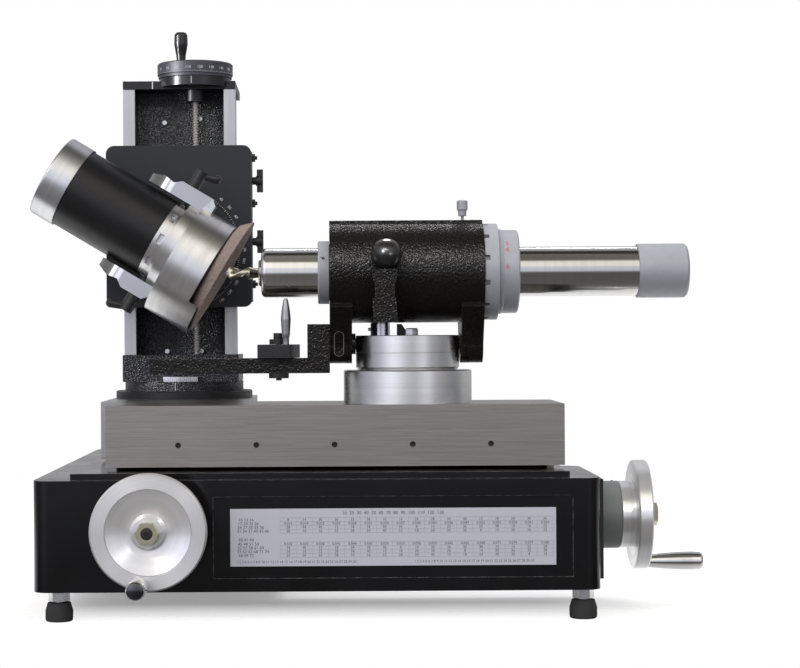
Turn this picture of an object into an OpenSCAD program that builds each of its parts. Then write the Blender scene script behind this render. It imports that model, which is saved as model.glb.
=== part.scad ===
// Tool and cutter grinder: a motor head on a column, and a work spindle on a cross table.
// Sizes are in millimetres. The machine is laid out from the left end (X), the front face (Y)
// and the bench (Z), and then moved so that its origin is at the middle of its footprint.

/* [Base] */
// Width of the base casting
base_w = 566; // [550:1:620]
// Depth of the front part of the base, under the table
base_d = 192; // [186:1:215]
// Width of the left part of the base, under the column
leg_w = 246; // [232:1:270]
// Depth of the left part of the base, from front to rear
leg_d = 580; // [566:1:640]
// Height of the underside of the base above the bench
base_z = 31.5; // [30:0.5:40]
// Height of the base casting up to its shoulder
base_h = 112; // [106:1:125]
// Height of the raised deck above the shoulder
deck_h = 6.5; // [4:0.5:10]
// Wall thickness of the casting
base_wall = 9; // [7:0.5:12]
// Thickness of the casting's top, below the shoulder
base_top = 12; // [8:0.5:16]
// Corner radius of the casting
base_r = 16; // [12:1:24]
// Overhang of the base on the left
base_out = 4.5; // [0:0.5:8]
// Distance from the left end of the base to the deck
deck_left = 33; // [28:1:36]
// Distance from the right end of the base to the deck
deck_right = 31; // [28:1:36]
// Distance from the front face to the deck
deck_front = 8; // [5:0.5:12]
// Inset of a foot from the end of the base
foot_in_x = 19; // [17:1:24]
// Inset of a foot from the front or rear of the base
foot_in_y = 27; // [22:1:32]
// Radius of a rubber foot
foot_r = 14; // [11:0.5:16]
// Height of a rubber foot
foot_h = 19; // [15:0.5:22]
// Radius of a foot's threaded stud
stud_r = 5; // [4:0.5:6]
// Width across the flats of a foot's nut
foot_nut_af = 19; // [16:0.5:22]
// Height of a foot's nut
foot_nut_h = 9.5; // [7:0.5:10]
// Left edge of the chart plate
chart_x = 194; // [185:1:205]
// Width of the chart plate
chart_w = 326; // [290:1:330]
// Lower edge of the chart plate above the bench
chart_z = 57; // [53:1:60]
// Height of the chart plate
chart_h = 57.5; // [50:0.5:60]
// Thickness of the chart plate
chart_t = 1; // [0.6:0.1:1.6]
// Border of the panel recess round the chart plate, at the sides
panel_side = 17; // [10:1:20]
// Border of the panel recess above and below it
panel_edge = 12; // [6:1:14]

/* [Slideways] */
// Height of the feed screws above the bench
feed_z = 97; // [94:0.5:102]
// Distance of the table slideway and the work spindle from the front face
x_axis_y = 112; // [110:0.5:113]
// Distance of the column slideway from the left end of the base
y_axis_x = 117; // [115:0.5:124]
// Width of a dovetail way at its top
way_w = 100; // [92:1:102]
// Height of a dovetail way
way_h = 34; // [30:1:36]
// Angle of the dovetail's flanks
way_angle = 60; // [58:1:64]
// Left end of the table way, from the left end of the base
x_way_x = 72; // [68:1:80]
// Length of the table way
x_way_l = 448; // [420:1:455]
// Front end of the column way, from the front face
y_way_y = 190; // [187:1:196]
// Length of the column way
y_way_l = 362; // [350:1:368]
// Thickness of a gib strip
gib_t = 6; // [4:0.5:7]
// Clearance between sliding faces
slide_gap = 0.2; // [0.1:0.05:0.3]
// Gap between the deck and whatever slides over it
deck_gap = 3.7; // [2:0.1:6]
// Radius of a feed screw
screw_r = 8; // [7:0.5:9]
// Radius of a feed screw's journal
journal_r = 6; // [5:0.25:6.5]
// Clearance of a running fit, on the radius
run_gap = 0.05; // [0.02:0.01:0.1]
// Width of a feed nut's neck across the slideway
neck_w = 20; // [16:1:22]
// Length of a feed nut's neck along the slideway
neck_l = 24; // [18:1:30]
// Travel of the table to the left from where it stands
x_travel_left = 20; // [10:1:20]
// Travel of the table to the right from where it stands
x_travel_right = 75; // [40:1:75]
// Travel of the column to the front from where it stands
y_travel_front = 18; // [8:1:18]
// Travel of the column to the rear from where it stands
y_travel_rear = 100; // [60:1:100]

/* [Handwheels] */
// Radius of a feed collar
collar_r = 35.4; // [32:0.1:37]
// Length of a feed collar with its flange
collar_l = 31.5; // [30:0.5:40]
// Thickness of a feed collar's flange
flange_t = 5; // [3:0.5:7]
// Radius of a handwheel
wheel_r = 57.25; // [53:0.25:57.25]
// Thickness of a handwheel's rim
wheel_t = 15; // [12:0.5:18]
// Length of a handwheel's hub behind the rim
hub_l = 14.5; // [10:0.5:20]
// Radius of a handwheel's hub
hub_r = 35.2; // [30:0.1:36]
// Width of the rim's flat face
rim_w = 14.5; // [10:0.5:18]
// Depth of the dished face
dish_t = 7; // [4:0.5:9]
// Radius of the boss in the dish
boss_r = 15; // [13:0.5:20]
// Width across the flats of a handwheel's nut
wheel_nut_af = 21; // [17:0.5:22]
// Height of a handwheel's nut
wheel_nut_h = 12; // [8:0.5:14]
// Distance of a crank handle from the handwheel's axis
crank_r = 49.5; // [44:0.5:50]
// Length of a crank handle
handle_l = 59; // [50:1:66]
// Largest radius of a crank handle
handle_r = 9.8; // [8:0.1:10.5]
// Radius of a crank handle where it meets the wheel
handle_root_r = 6.6; // [6:0.1:7.5]
// Radius of the pin that a crank handle turns on
handle_pin_r = 4; // [3:0.25:4.5]
// Turn of the front handwheel's handle from straight down
front_crank_turn = 8; // [0:1:20]

/* [Table] */
// Left end of the table, from the left end of the base
table_x = 64.5; // [60:0.5:68]
// Length of the table
table_w = 470; // [462:1:485]
// Distance of the table's front from the base's
table_y = 45; // [42:0.5:46]
// Depth of the table
table_d = 135; // [131:0.5:136]
// Height of the top of the table above the bench
table_z = 216.5; // [214:0.5:222]
// Radius of a gib screw's hole in the table
gib_hole_r = 3; // [2:0.25:3.5]
// Distance between neighbouring gib screws
gib_pitch = 80; // [60:1:90]
// Number of gib screws
gib_count = 5; // [3:1:5]
// Height of the gib screws above the bench
gib_z = 176; // [172:0.5:178]
// Depth of a gib screw's head below the table's front
gib_sink = 2.5; // [1:0.5:3.5]

/* [Work head] */
// Distance of the swivel axis of the work head from the left end
head_x = 376.6; // [370:0.5:382]
// Radius of the work head's base
wh_base_r = 67.4; // [60:0.1:68]
// Height of the work head's base
wh_base_h = 34.5; // [30:0.5:38]
// Radius of the swivel
swivel_r = 54.4; // [50:0.1:56]
// Height of the swivel
swivel_h = 36.2; // [32:0.5:38]
// Depth of the rocking axis below the top of the swivel
pivot_down = 8.8; // [8:0.2:12]
// Radius of a pivot pin
pivot_r = 6; // [4:0.25:6]
// Height of the work spindle above the rocking axis
spindle_up = 75.4; // [75:0.5:80]
// Radius of the work head's barrel
barrel_r = 53.3; // [50:0.1:53.5]
// Thickness of a leg of the work head
leg_t = 23.3; // [18:0.1:26]
// Gap between the swivel and the left leg
leg_gap = 4.2; // [2.5:0.1:5]
// Radius of the round end of a leg
leg_end_r = 20.5; // [16:0.5:21]
// Depth of a leg where it meets the barrel
leg_top_w = 92; // [80:1:96]
// Height of a leg's wide end above the rocking axis
leg_top_up = 44.5; // [40:0.5:50]
// Width of the strip along the top of the barrel
strip_w = 30; // [20:1:36]
// Height of the strip above the barrel
strip_h = 0.6; // [0.6:0.1:2]
// Radius of the stop post
post_r = 10.5; // [8:0.5:11]
// Distance of the stop post behind the spindle axis
post_back = 23; // [20:0.5:24]
// Distance of the stop post from the swivel axis, to the left
post_left = 28; // [24:0.5:30]
// Radius of the ball knob
ball_r = 16; // [13:0.5:16]
// Width of the knob's arm
arm_w = 26; // [20:1:28]
// Depth of the knob's arm
arm_d = 14; // [10:0.5:16]
// Distance of the arm from the swivel axis, to the left
arm_left = 25.5; // [20:0.5:30]
// Distance of the arm's front from the spindle axis
arm_out = 75.5; // [75:0.5:78]

/* [Work spindle] */
// Radius of the spindle tube
spindle_r = 26; // [24:0.1:26]
// Radius of the bore through the spindle tube
spindle_bore_r = 16; // [13:0.5:17]
// Length of the spindle tube
spindle_l = 413; // [405:1:420]
// Distance of the spindle's nose from the swivel axis
nose_out = 153.5; // [150:0.5:156]
// Radius of the index sleeve
sleeve_r = 29.5; // [29:0.1:30.5]
// Gap between a spindle ring and the barrel
ring_gap = 0.3; // [0.2:0.05:0.5]
// Radius of the front collar
front_collar_r = 33.2; // [31.5:0.1:35]
// Length of the front collar
front_collar_l = 11.8; // [9:0.1:14]
// Radius of the notched index ring
index_r = 50.7; // [46:0.1:52]
// Length of the index ring
index_l = 15.2; // [12:0.1:18]
// Number of notches in the index ring
notch_count = 12; // [8:1:16]
// Width of a notch
notch_w = 5.3; // [4:0.1:7]
// Depth of a notch
notch_t = 5; // [3:0.1:7]
// Radius of the numbered ring
number_r = 43.8; // [40:0.1:46]
// Length of the numbered ring
number_l = 21.5; // [18:0.1:25]
// Radius of the end cap
cap_r = 28.5; // [27.5:0.1:31]
// Length of the end cap
cap_l = 52.5; // [50:0.5:62]
// Length of the end cap beyond the tube
cap_over = 35; // [20:0.5:40]
// Radius of the collet
collet_r = 14; // [11:0.5:15.5]
// Length of the collet
collet_l = 44; // [34:0.5:50]
// Distance that the collet stands out of the nose
collet_out = 3; // [1:0.5:3]
// Radius of the cutter
cutter_r = 6.35; // [4:0.05:6.4]
// Distance that the cutter stands out of the collet
cutter_out = 35; // [28:0.5:35]
// Length of the cutter's shank inside the collet
cutter_in = 36; // [24:1:40]
// Radius of the index pin's knob
pin_knob_r = 5.8; // [4:0.1:7]
// Length of the index pin's knob
pin_knob_l = 16.5; // [12:0.5:20]
// Distance of the index pin from the rear end of the barrel
pin_in = 20; // [14:0.5:26]
// Lift of the index pin
pin_lift = 5; // [3:0.5:6]

/* [Tooth rest] */
// Length of the tooth rest's bar
bar_l = 189; // [175:1:190]
// Height of the bar
bar_h = 16; // [13:0.5:17]
// Depth of the bar
bar_d = 16; // [14:0.5:18]
// Distance of the bar in front of the spindle axis
bar_front = 14; // [10:0.5:16]
// Depth of the top of the bar below the rocking axis
bar_down = 14.3; // [12:0.1:16]
// Width of the bar's upright
upright_w = 23.5; // [18:0.5:26]
// Height of the bar's upright above the bar
upright_h = 35.3; // [30:0.5:38]
// Width of the slot along the bar
slot_w = 6.4; // [6.1:0.1:8]
// Distance of the clamp block's bolt from the work head's left leg
block_out = 53.6; // [50:0.5:58]
// Width of the clamp block
block_w = 36; // [30:0.5:37]
// Height of the clamp block
block_h = 14; // [10:0.5:16]
// Turn of the clamp block about its bolt
block_turn = 16; // [0:1:20]
// Radius of the clamp block's bolt
block_bolt_r = 3; // [2:0.25:3]
// Radius of the clamp block's washer
washer_r = 9.8; // [7:0.1:10]
// Height of the finger above the clamp block
finger_h = 48; // [40:0.5:48.5]
// Largest radius of the finger
finger_r = 5.2; // [4:0.1:6]

/* [Column] */
// Width of the column's slide
saddle_w = 164; // [154:1:164]
// Distance of the column's slide from the front face of the base
saddle_y = 202; // [201:0.5:206]
// Depth of the column's slide
saddle_d = 235; // [228:1:245]
// Height of the top of the column's slide above the bench
saddle_z = 216; // [214:0.5:222]
// Distance of the column's swivel axis from the front of its slide
column_in = 143; // [142:0.5:145]
// Radius of the column's flange
flange_r = 79.5; // [76:0.5:80]
// Height of the column's flange
flange_h = 9; // [7:0.5:12]
// Radius of the column's swivel ring
ring_r = 69; // [64:0.5:72]
// Height of the column's swivel ring
ring_h = 10.8; // [8:0.2:14]
// Height of the column's foot block
foot_block_h = 30.6; // [24:0.5:36]
// Width across the column's ways
column_w = 128.6; // [124:0.2:132]
// Depth of the column casting behind its ways
column_d = 102; // [94:1:108]
// Height of the column above its foot block
column_h = 304; // [300:1:330]
// Width of one of the column's ways
column_way_w = 13.6; // [12:0.2:16]
// Thickness of one of the column's ways
column_way_t = 12; // [11:0.5:14]
// Overhang of a way beyond the side of the casting
way_over = 4.3; // [3.5:0.1:5]
// Depth of the recess behind the ways
recess_d = 22; // [19:0.5:26]
// Thickness of the web between the two recesses
web_t = 14; // [10:0.5:18]
// Depth of the front of the ways ahead of the swivel axis
way_front = 57; // [55:0.5:59]
// Thickness of the column's cap
cap_t = 9; // [7:0.5:12]
// Distance of the vertical feed screw from the column's axis, to the right
z_screw_dx = 17.5; // [14:0.5:20]
// Distance of the vertical feed screw behind the front of the ways
z_screw_back = 15; // [14:0.5:17]
// Radius of the vertical feed screw
z_screw_r = 3.6; // [3:0.1:4]
// Radius of the index ring under the dial
z_ring_r = 41; // [38:0.5:43]
// Height of the index ring under the dial
z_ring_h = 10; // [8:0.5:13]
// Radius of the dial
dial_r = 43.3; // [40:0.1:46]
// Height of the dial
dial_h = 17; // [13:0.5:20]
// Distance of the dial's knob from its axis
knob_out = 32; // [26:0.5:35]
// Turn of the knob about the dial's axis, from straight in front
knob_turn = 26; // [0:1:40]
// Height of the dial's knob
knob_h = 32; // [24:0.5:36]
// Largest radius of the dial's knob
knob_r = 7.7; // [6:0.1:8.5]

/* [Vertical slide] */
// Width of the slide plate
plate_w = 165.3; // [163:0.1:172]
// Height of the slide plate
plate_h = 183.7; // [176:0.1:188]
// Thickness of the slide plate
plate_t = 15.8; // [14:0.1:18]
// Corner radius of the slide plate
plate_r = 9.5; // [4:0.5:14]
// Height of the slide plate's lower edge above the bench
plate_z = 321; // [312:0.5:323]
// Height of the tilting axis above the plate's lower edge
tilt_up = 64.7; // [62:0.1:68]
// Thickness of the column gib
z_gib_t = 4; // [3:0.25:5]
// Radius of a lock screw
lock_r = 3; // [2.5:0.25:3.5]
// Length of a lock knob's wing
lock_wing = 26; // [20:1:27]

/* [Grinding head] */
// Tilt of the head's axis below level, in degrees
head_tilt = 31; // [25:1:35]
// Distance of the head's axis in front of the slide plate
axis_out = 82; // [80:0.5:84]
// Radius of the tilting flange
tilt_r = 65.4; // [58:0.2:66]
// Thickness of the tilting flange
tilt_t = 7.7; // [6:0.1:8.5]
// Radius of the tilting spigot
spigot_r = 10; // [8:0.5:12]
// Radius of the motor's body
motor_r = 45; // [42:0.2:45.5]
// Length of the motor's body
motor_l = 107.3; // [100:0.5:112]
// Distance of the motor body's front end behind the tilting axis
motor_back = 19.1; // [17:0.1:21]
// Wall thickness of the motor's body
motor_wall = 5; // [3:0.5:6]
// Radius of the motor's end cap
motor_cap_r = 46.5; // [44:0.1:47.5]
// Length of the motor's end cap
motor_cap_l = 28.4; // [24:0.2:32]
// Length of the motor's front flange
motor_flange_l = 13.2; // [11:0.1:15]
// Radius of the motor's shaft
shaft_r = 8; // [6:0.25:9]
// Radius of the guard's ring
guard_ring_r = 50.4; // [47:0.2:50.5]
// Length of the guard's ring
guard_ring_l = 13.1; // [11:0.1:15]
// Radius of the guard's drum
guard_r = 63.5; // [62.5:0.1:64]
// Length of the guard's drum
guard_l = 41.6; // [40:0.1:42]
// Offset of the guard's drum from the head's axis
guard_off = 9.9; // [9:0.1:10]
// Wall thickness of the guard's drum
guard_wall = 3; // [2:0.1:3]
// Length of the guard's skirt beyond the drum
skirt_l = 11; // [6:0.5:11]
// Radius of the grinding wheel's rim
rim_r = 68.2; // [66:0.1:68.2]
// Radius of the grinding wheel where it enters the guard
wheel_back_r = 49.5; // [44:0.1:49.6]
// Width of the grinding wheel's rim
rim_face = 6; // [4:0.5:8]
// Distance that the grinding wheel stands out of the guard
wheel_out = 14.3; // [12:0.1:14.3]
// Distance between the inner faces of the guard's arms and the head's axis
arm_in = 48.8; // [46.5:0.1:49]
// Thickness of a guard arm
guard_arm_t = 18; // [14:0.5:20]
// Width of a guard arm
guard_arm_w = 26; // [20:0.5:28]
// Length of the guard arms along the motor
guard_arm_l = 52; // [44:0.5:54]
// Radius of a clamp lever's hub
lever_hub_r = 7.3; // [5.5:0.1:7.5]
// Length of a clamp lever's hub
lever_hub_l = 20; // [16:0.5:23]
// Length of a clamp lever
lever_l = 19; // [18:0.5:28]

/* [Hidden] */
$fn = 64;
eps = 0.01;
// Thread of a set screw's socket, across the flats
socket_af = 2.5;

// Heights of the base
shoulder_z = base_z + base_h;
deck_z = shoulder_z + deck_h;
cavity_z = shoulder_z - base_top;
deck_w = base_w - deck_left - deck_right;
deck_side = min(2 * (y_axis_x - deck_left), leg_w - deck_left - 4);
deck_back = 15;
foot_places = [
    [foot_in_x, foot_in_y],
    [base_w - base_r, foot_in_y],
    [foot_in_x, leg_d - foot_in_y],
    [leg_w - foot_in_x, leg_d - foot_in_y]
];
foot_boss_r = foot_in_x - base_wall + 5;
stud_hole_l = 30;
panel_sink = 1.2;

// Feed screws, their nuts and the slots that the nuts' necks run in
table_mid = table_x + table_w / 2;
saddle_mid = saddle_y + saddle_d / 2;
neck_gap = 2.5;
nut_l = 40;
nut_w = 30;
rib_t = 12;
rib_gap = 15.5;
x_screw_l = base_w - table_mid + nut_l / 2 + x_travel_left + rib_gap;
y_screw_l = saddle_mid + nut_l / 2 + y_travel_rear + rib_gap;
rib_drop = feed_z - base_z - 2 * journal_r - 6;

// Work head
wh_top = table_z + wh_base_h;
swivel_z = wh_top + slide_gap;
swivel_top = swivel_z + swivel_h;
rock_z = swivel_top - pivot_down;
spindle_z = rock_z + spindle_up;
left_leg_x = head_x - swivel_r - leg_gap - leg_t;
right_gap = leg_gap / 4;
right_leg_x = head_x + swivel_r + right_gap;
barrel_x = left_leg_x;
barrel_end = right_leg_x + leg_t;
nose_x = head_x - nose_out;
collar_x = barrel_x - ring_gap - front_collar_l;
index_x = barrel_end + ring_gap;
number_x = index_x + index_l + ring_gap;
tube_end = nose_x + spindle_l;
cap_x = tube_end + cap_over - cap_l;
post_top = spindle_z - sqrt(pow(barrel_r, 2) - pow(post_back - post_r, 2)) - 3 * slide_gap;
arm_x = head_x - arm_left;
arm_y = x_axis_y - arm_out;
arm_top = spindle_z + 1;
arm_foot = spindle_z - barrel_r;
pin_x = barrel_end - pin_in;
pin_r = 3;

// Tooth rest
bar_y = x_axis_y - bar_front;
bar_top = rock_z - bar_down;
bar_x = left_leg_x - bar_l;
block_x = left_leg_x - block_out;
block_z = bar_top + slide_gap;
finger_dx = 8;
finger_dy = -10;

// Column
column_y = saddle_y + column_in;
flange_top = saddle_z + flange_h;
ring_z = flange_top + slide_gap;
ring_top = ring_z + ring_h;
column_z = ring_top + foot_block_h;
column_top = column_z + column_h;
way_y = column_y - way_front;
casting_y = way_y + column_way_t;
casting_w = column_w - 2 * way_over;
recess_w = column_w - 2 * column_way_w;
column_off = 7;
column_x = y_axis_x + column_off;
z_screw_x = column_x + z_screw_dx;
z_screw_y = way_y + z_screw_back;
ring_base_z = column_top + 2.5;
dial_z = ring_base_z + z_ring_h + 0.5;
dial_top = dial_z + dial_h;

// Vertical slide
plate_y = way_y - slide_gap - plate_t;
plate_top = plate_z + plate_h;
plate_side = plate_w / 2;
way_side = column_w / 2;
guide_top = plate_top - 12;
lock_places = [plate_z + 74.8, plate_z + 144.4];
gib_screw_places = [plate_z + 26, plate_z + 118.7, plate_z + 170.8];
keeper_t = column_way_t + slide_gap + 7;
keeper_mid = way_y + column_way_t / 2 - 1;

// Grinding head, laid out along its own axis from the tilting axis
tilt_x = column_x;
tilt_z = plate_z + tilt_up;
head_y = plate_y - axis_out;
motor_end = -motor_back - motor_l;
cap_end = motor_end - motor_cap_l;
flange_end = -motor_back + motor_flange_l;
guard_z = flange_end + guard_ring_l;
guard_end = guard_z + guard_l;
wheel_face = guard_end + wheel_out;
wheel_seat = guard_z + 28.8;

// Footprint of the whole machine, which the origin is the middle of
crank_end = collar_l + hub_l + wheel_t + handle_l + 0.6;
cap_reach = -cap_end * cos(head_tilt) + motor_cap_r * sin(head_tilt);
machine_left = min(-base_out, tilt_x - cap_reach);
machine_right = max(base_w + crank_end, tube_end + cap_over);
machine_front = -crank_end;
machine_back = leg_d;

// Moves the machine so that its origin is the middle of its footprint on the bench
module placed() {
    translate([-(machine_left + machine_right) / 2, -(machine_front + machine_back) / 2, 0])
        children();
}

// Turns a part built along Z so that it runs along X, Y or towards the front
module along_x(at) {
    translate(at) rotate([0, 90, 0]) children();
}

module along_y(at) {
    translate(at) rotate([-90, 0, 0]) children();
}

module along_front(at) {
    translate(at) rotate([90, 0, 0]) children();
}

// Puts a part built along the head's own axis in place on the tilting axis
module on_head() {
    placed() translate([tilt_x, head_y, tilt_z]) rotate([0, 90 + head_tilt, 0]) children();
}

// A tube between two heights
module tube(outer_r, inner_r, z0, z1) {
    translate([0, 0, z0]) difference() {
        cylinder(r = outer_r, h = z1 - z0);
        translate([0, 0, -1]) cylinder(r = inner_r, h = z1 - z0 + 2);
    }
}

// A hexagon bar measured across its flats
module hex_bar(across, length) {
    cylinder(r = across / 2 / cos(30), h = length, $fn = 6);
}

// Points of a rectangle with round corners, from its lower left corner
function rounded_points(w, d, r, steps = 8) = [
    for (corner = [[w - r, d - r, 0], [r, d - r, 90], [r, r, 180], [w - r, r, 270]])
        for (i = [0:steps])
            [corner[0] + r * cos(corner[2] + 90 * i / steps),
             corner[1] + r * sin(corner[2] + 90 * i / steps)]
];

// The base's plan: the front part and the left part, drawn in by an inset
module base_plan(inset, r, height) {
    linear_extrude(height) union() {
        translate([inset - base_out, inset])
            polygon(rounded_points(base_w + base_out - 2 * inset, base_d - 2 * inset, r));
        translate([inset - base_out, inset])
            polygon(rounded_points(leg_w + base_out - 2 * inset, leg_d - 2 * inset, r));
    }
}

// Half the width of a dovetail way at a height above its foot
function flank(z) = way_w / 2 - (way_h - z) / tan(way_angle);

// Profile of a male dovetail, standing on its foot
module way_profile() {
    polygon([[-flank(0), 0], [flank(0), 0], [flank(way_h), way_h], [-flank(way_h), way_h]]);
}

// Profile of the channel that slides on a way, with room for a gib on the negative side
module channel_profile() {
    plain = slide_gap / sin(way_angle);
    gibbed = (gib_t + 2 * slide_gap) / sin(way_angle);
    top = way_h + slide_gap;
    polygon([
        [-flank(-1) - gibbed, -1], [flank(-1) + plain, -1],
        [flank(top) + plain, top], [-flank(top) - gibbed, top]
    ]);
}

// Profile of the gib between a way and its channel
module gib_profile() {
    near = slide_gap / sin(way_angle);
    far = (gib_t + slide_gap) / sin(way_angle);
    low = deck_gap + slide_gap;
    high = way_h - 1;
    polygon([
        [-flank(low) - far, low], [-flank(low) - near, low],
        [-flank(high) - near, high], [-flank(high) - far, high]
    ]);
}

// Runs a profile, drawn across and up, along X or along Y at deck height
module run_x(x0, length) {
    translate([x0, x_axis_y, deck_z]) rotate([90, 0, 90]) linear_extrude(length) children();
}

module run_y(y0, length) {
    translate([y_axis_x, y0 + length, deck_z]) rotate([90, 0, 0]) linear_extrude(length) children();
}

// Slot for a feed nut's neck, between two ends
module x_slot(z0, z1) {
    x0 = table_mid - neck_l / 2 - x_travel_left - neck_gap;
    x1 = table_mid + neck_l / 2 + x_travel_right + neck_gap;
    translate([x0, x_axis_y - neck_w / 2 - neck_gap, z0])
        cube([x1 - x0, neck_w + 2 * neck_gap, z1 - z0]);
}

module y_slot(z0, z1) {
    y0 = saddle_mid - neck_l / 2 - y_travel_front - neck_gap;
    y1 = saddle_mid + neck_l / 2 + y_travel_rear + neck_gap;
    translate([y_axis_x - neck_w / 2 - neck_gap, y0, z0])
        cube([neck_w + 2 * neck_gap, y1 - y0, z1 - z0]);
}

// Base casting: hollow from below, with foot bosses and bearing ribs
module base_casting() {
    x_rib = base_w - x_screw_l - rib_t;
    placed() color("#17171a") difference() {
        union() {
            translate([0, 0, base_z]) base_plan(0, base_r, base_h);
            translate([deck_left, deck_front, shoulder_z - 1])
                cube([deck_w, base_d - 2 * deck_front, deck_h + 1]);
            translate([deck_left, deck_front, shoulder_z - 1])
                cube([deck_side, leg_d - deck_front - deck_back, deck_h + 1]);
        }
        difference() {
            translate([0, 0, base_z - 1]) base_plan(base_wall, base_r - base_wall / 2, cavity_z - base_z + 1);
            for (place = foot_places)
                translate([place[0], place[1], base_z - 2]) cylinder(r = foot_boss_r, h = base_h);
            translate([x_rib, 0, base_z + rib_drop]) cube([rib_t, base_d, base_h]);
            translate([-base_out, y_screw_l, base_z + rib_drop]) cube([leg_w, rib_t, base_h]);
        }
        for (place = foot_places)
            translate([place[0], place[1], base_z - 1]) cylinder(r = stud_r, h = stud_hole_l + 1);
        x_slot(cavity_z - 1, deck_z + 1);
        y_slot(cavity_z - 1, deck_z + 1);
        along_x([x_rib - 1, x_axis_y, feed_z]) cylinder(r = journal_r + run_gap, h = rib_t + 2);
        along_x([base_w - base_wall - 1, x_axis_y, feed_z]) cylinder(r = screw_r, h = base_wall + 2);
        along_y([y_axis_x, y_screw_l - 1, feed_z]) cylinder(r = journal_r + run_gap, h = rib_t + 2);
        along_y([y_axis_x, -1, feed_z]) cylinder(r = screw_r, h = base_wall + 2);
        translate([chart_x - panel_side, -1, chart_z - panel_edge])
            cube([chart_w + 2 * panel_side, panel_sink + 1, chart_h + 2 * panel_edge]);
    }
}

module chart_plate() {
    placed() color("white") translate([chart_x, panel_sink - chart_t, chart_z])
        cube([chart_w, chart_t, chart_h]);
}

// Rubber feet, each a tapered pad on a stud
module foot_pads() {
    socket_z = foot_h - 8;
    placed() color("#1c1c1c") for (place = foot_places)
        translate([place[0], place[1], 0]) rotate_extrude() polygon([
            [0, 0], [foot_r - 1.5, 0], [foot_r - 0.4, 1], [foot_r, 3], [foot_r, foot_h - 8],
            [foot_r - 2.4, foot_h], [stud_r, foot_h], [stud_r, socket_z], [0, socket_z]
        ]);
}

module foot_studs() {
    socket_z = foot_h - 8;
    placed() color("silver") for (place = foot_places)
        translate([place[0], place[1], 0]) union() {
            translate([0, 0, socket_z]) cylinder(r = stud_r, h = base_z + stud_hole_l - 4 - socket_z);
            translate([0, 0, base_z - foot_nut_h - 1.5]) hex_bar(foot_nut_af, foot_nut_h);
            translate([0, 0, base_z - 1.5]) cylinder(r = foot_nut_af / 2 + 1, h = 1.5);
        }
}

module x_way() {
    placed() color("#8a8a88") difference() {
        run_x(x_way_x, x_way_l) way_profile();
        x_slot(deck_z - 1, deck_z + way_h + 1);
    }
}

module y_way() {
    placed() color("#8a8a88") difference() {
        run_y(y_way_y, y_way_l) way_profile();
        y_slot(deck_z - 1, deck_z + way_h + 1);
    }
}

// Bearing housing of a feed screw, along Z from the base's face
module feed_collar(flange_w, flange_b, flange_u) {
    difference() {
        union() {
            cylinder(r = collar_r, h = collar_l);
            translate([-flange_u, -flange_b, 0]) cube([flange_u + flange_w, 2 * flange_b, flange_t]);
        }
        translate([0, 0, -1]) cylinder(r = journal_r + run_gap, h = collar_l + 2);
    }
}

module x_feed_collar() {
    side = base_d / 2 - 10;
    placed() color("#85898a") along_x([base_w, x_axis_y, feed_z]) difference() {
        feed_collar(feed_z - base_z - 8, side, shoulder_z - feed_z - 3);
        translate([-base_h, base_d - x_axis_y - 4, -1]) cube([2 * base_h, base_h, flange_t + 2]);
    }
}

module y_feed_collar() {
    placed() color("#85898a") along_front([y_axis_x, 0, feed_z])
        feed_collar(collar_r + 2, collar_r + 2, collar_r + 2);
}

// Feed screw along Z: bearing journal, thread and far journal, then out through the collar
module leadscrew(length) {
    thread_l = length - base_wall - 3;
    outside = collar_l + hub_l + wheel_t + 11;
    union() {
        translate([0, 0, -outside]) cylinder(r = journal_r, h = outside + base_wall + 2);
        translate([0, 0, base_wall + 1]) cylinder(r = screw_r, h = thread_l);
        translate([0, 0, length - 3]) cylinder(r = journal_r, h = rib_t + 2);
    }
}

module x_leadscrew() {
    placed() color("#9a9a9a") translate([base_w, x_axis_y, feed_z]) rotate([0, -90, 0])
        leadscrew(x_screw_l);
}

module y_leadscrew() {
    placed() color("#9a9a9a") along_y([y_axis_x, 0, feed_z]) leadscrew(y_screw_l);
}

// Handwheel along Z from the inner face of its hub, with the pin of its crank handle
module handwheel(turn) {
    bore = journal_r;
    face = hub_l + wheel_t;
    rim_in = wheel_r - rim_w;
    union() {
        rotate_extrude($fn = 96) polygon([
            [bore, 0], [hub_r - 0.8, 0], [hub_r, 0.8], [hub_r, hub_l * 0.7], [hub_r - 1.2, hub_l * 0.7],
            [hub_r - 1.2, hub_l], [wheel_r - 1.5, hub_l], [wheel_r, hub_l + 1.5], [wheel_r, face - 1.5],
            [wheel_r - 1.5, face], [rim_in, face], [rim_in - 1, face - 2],
            [boss_r + 3, face - dish_t], [boss_r, face - 0.5], [bore, face - 0.5]
        ]);
        rotate([0, 0, turn]) translate([crank_r, 0, face - 2])
            cylinder(r = handle_pin_r, h = handle_l - 8 + 2);
    }
}

module x_handwheel() {
    placed() color("#c8c8c6") along_x([base_w + collar_l + 0.3, x_axis_y, feed_z]) handwheel(0);
}

module y_handwheel() {
    placed() color("#c8c8c6") along_front([y_axis_x, -collar_l - 0.3, feed_z])
        handwheel(-90 - front_crank_turn);
}

// Nut on the end of a feed screw, with the screw's end showing
module wheel_nut() {
    translate([0, 0, hub_l + wheel_t - 0.5]) difference() {
        intersection() {
            hex_bar(wheel_nut_af, wheel_nut_h);
            cylinder(r1 = wheel_nut_af, r2 = wheel_nut_af / 2 - 0.5, h = wheel_nut_h + 2, $fn = 48);
        }
        translate([0, 0, -1]) cylinder(r = journal_r, h = wheel_nut_h + 4);
    }
}

module x_wheel_nut() {
    placed() color("#b8a878") along_x([base_w + collar_l + 0.3, x_axis_y, feed_z]) wheel_nut();
}

module y_wheel_nut() {
    placed() color("#b8a878") along_front([y_axis_x, -collar_l - 0.3, feed_z]) wheel_nut();
}

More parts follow.
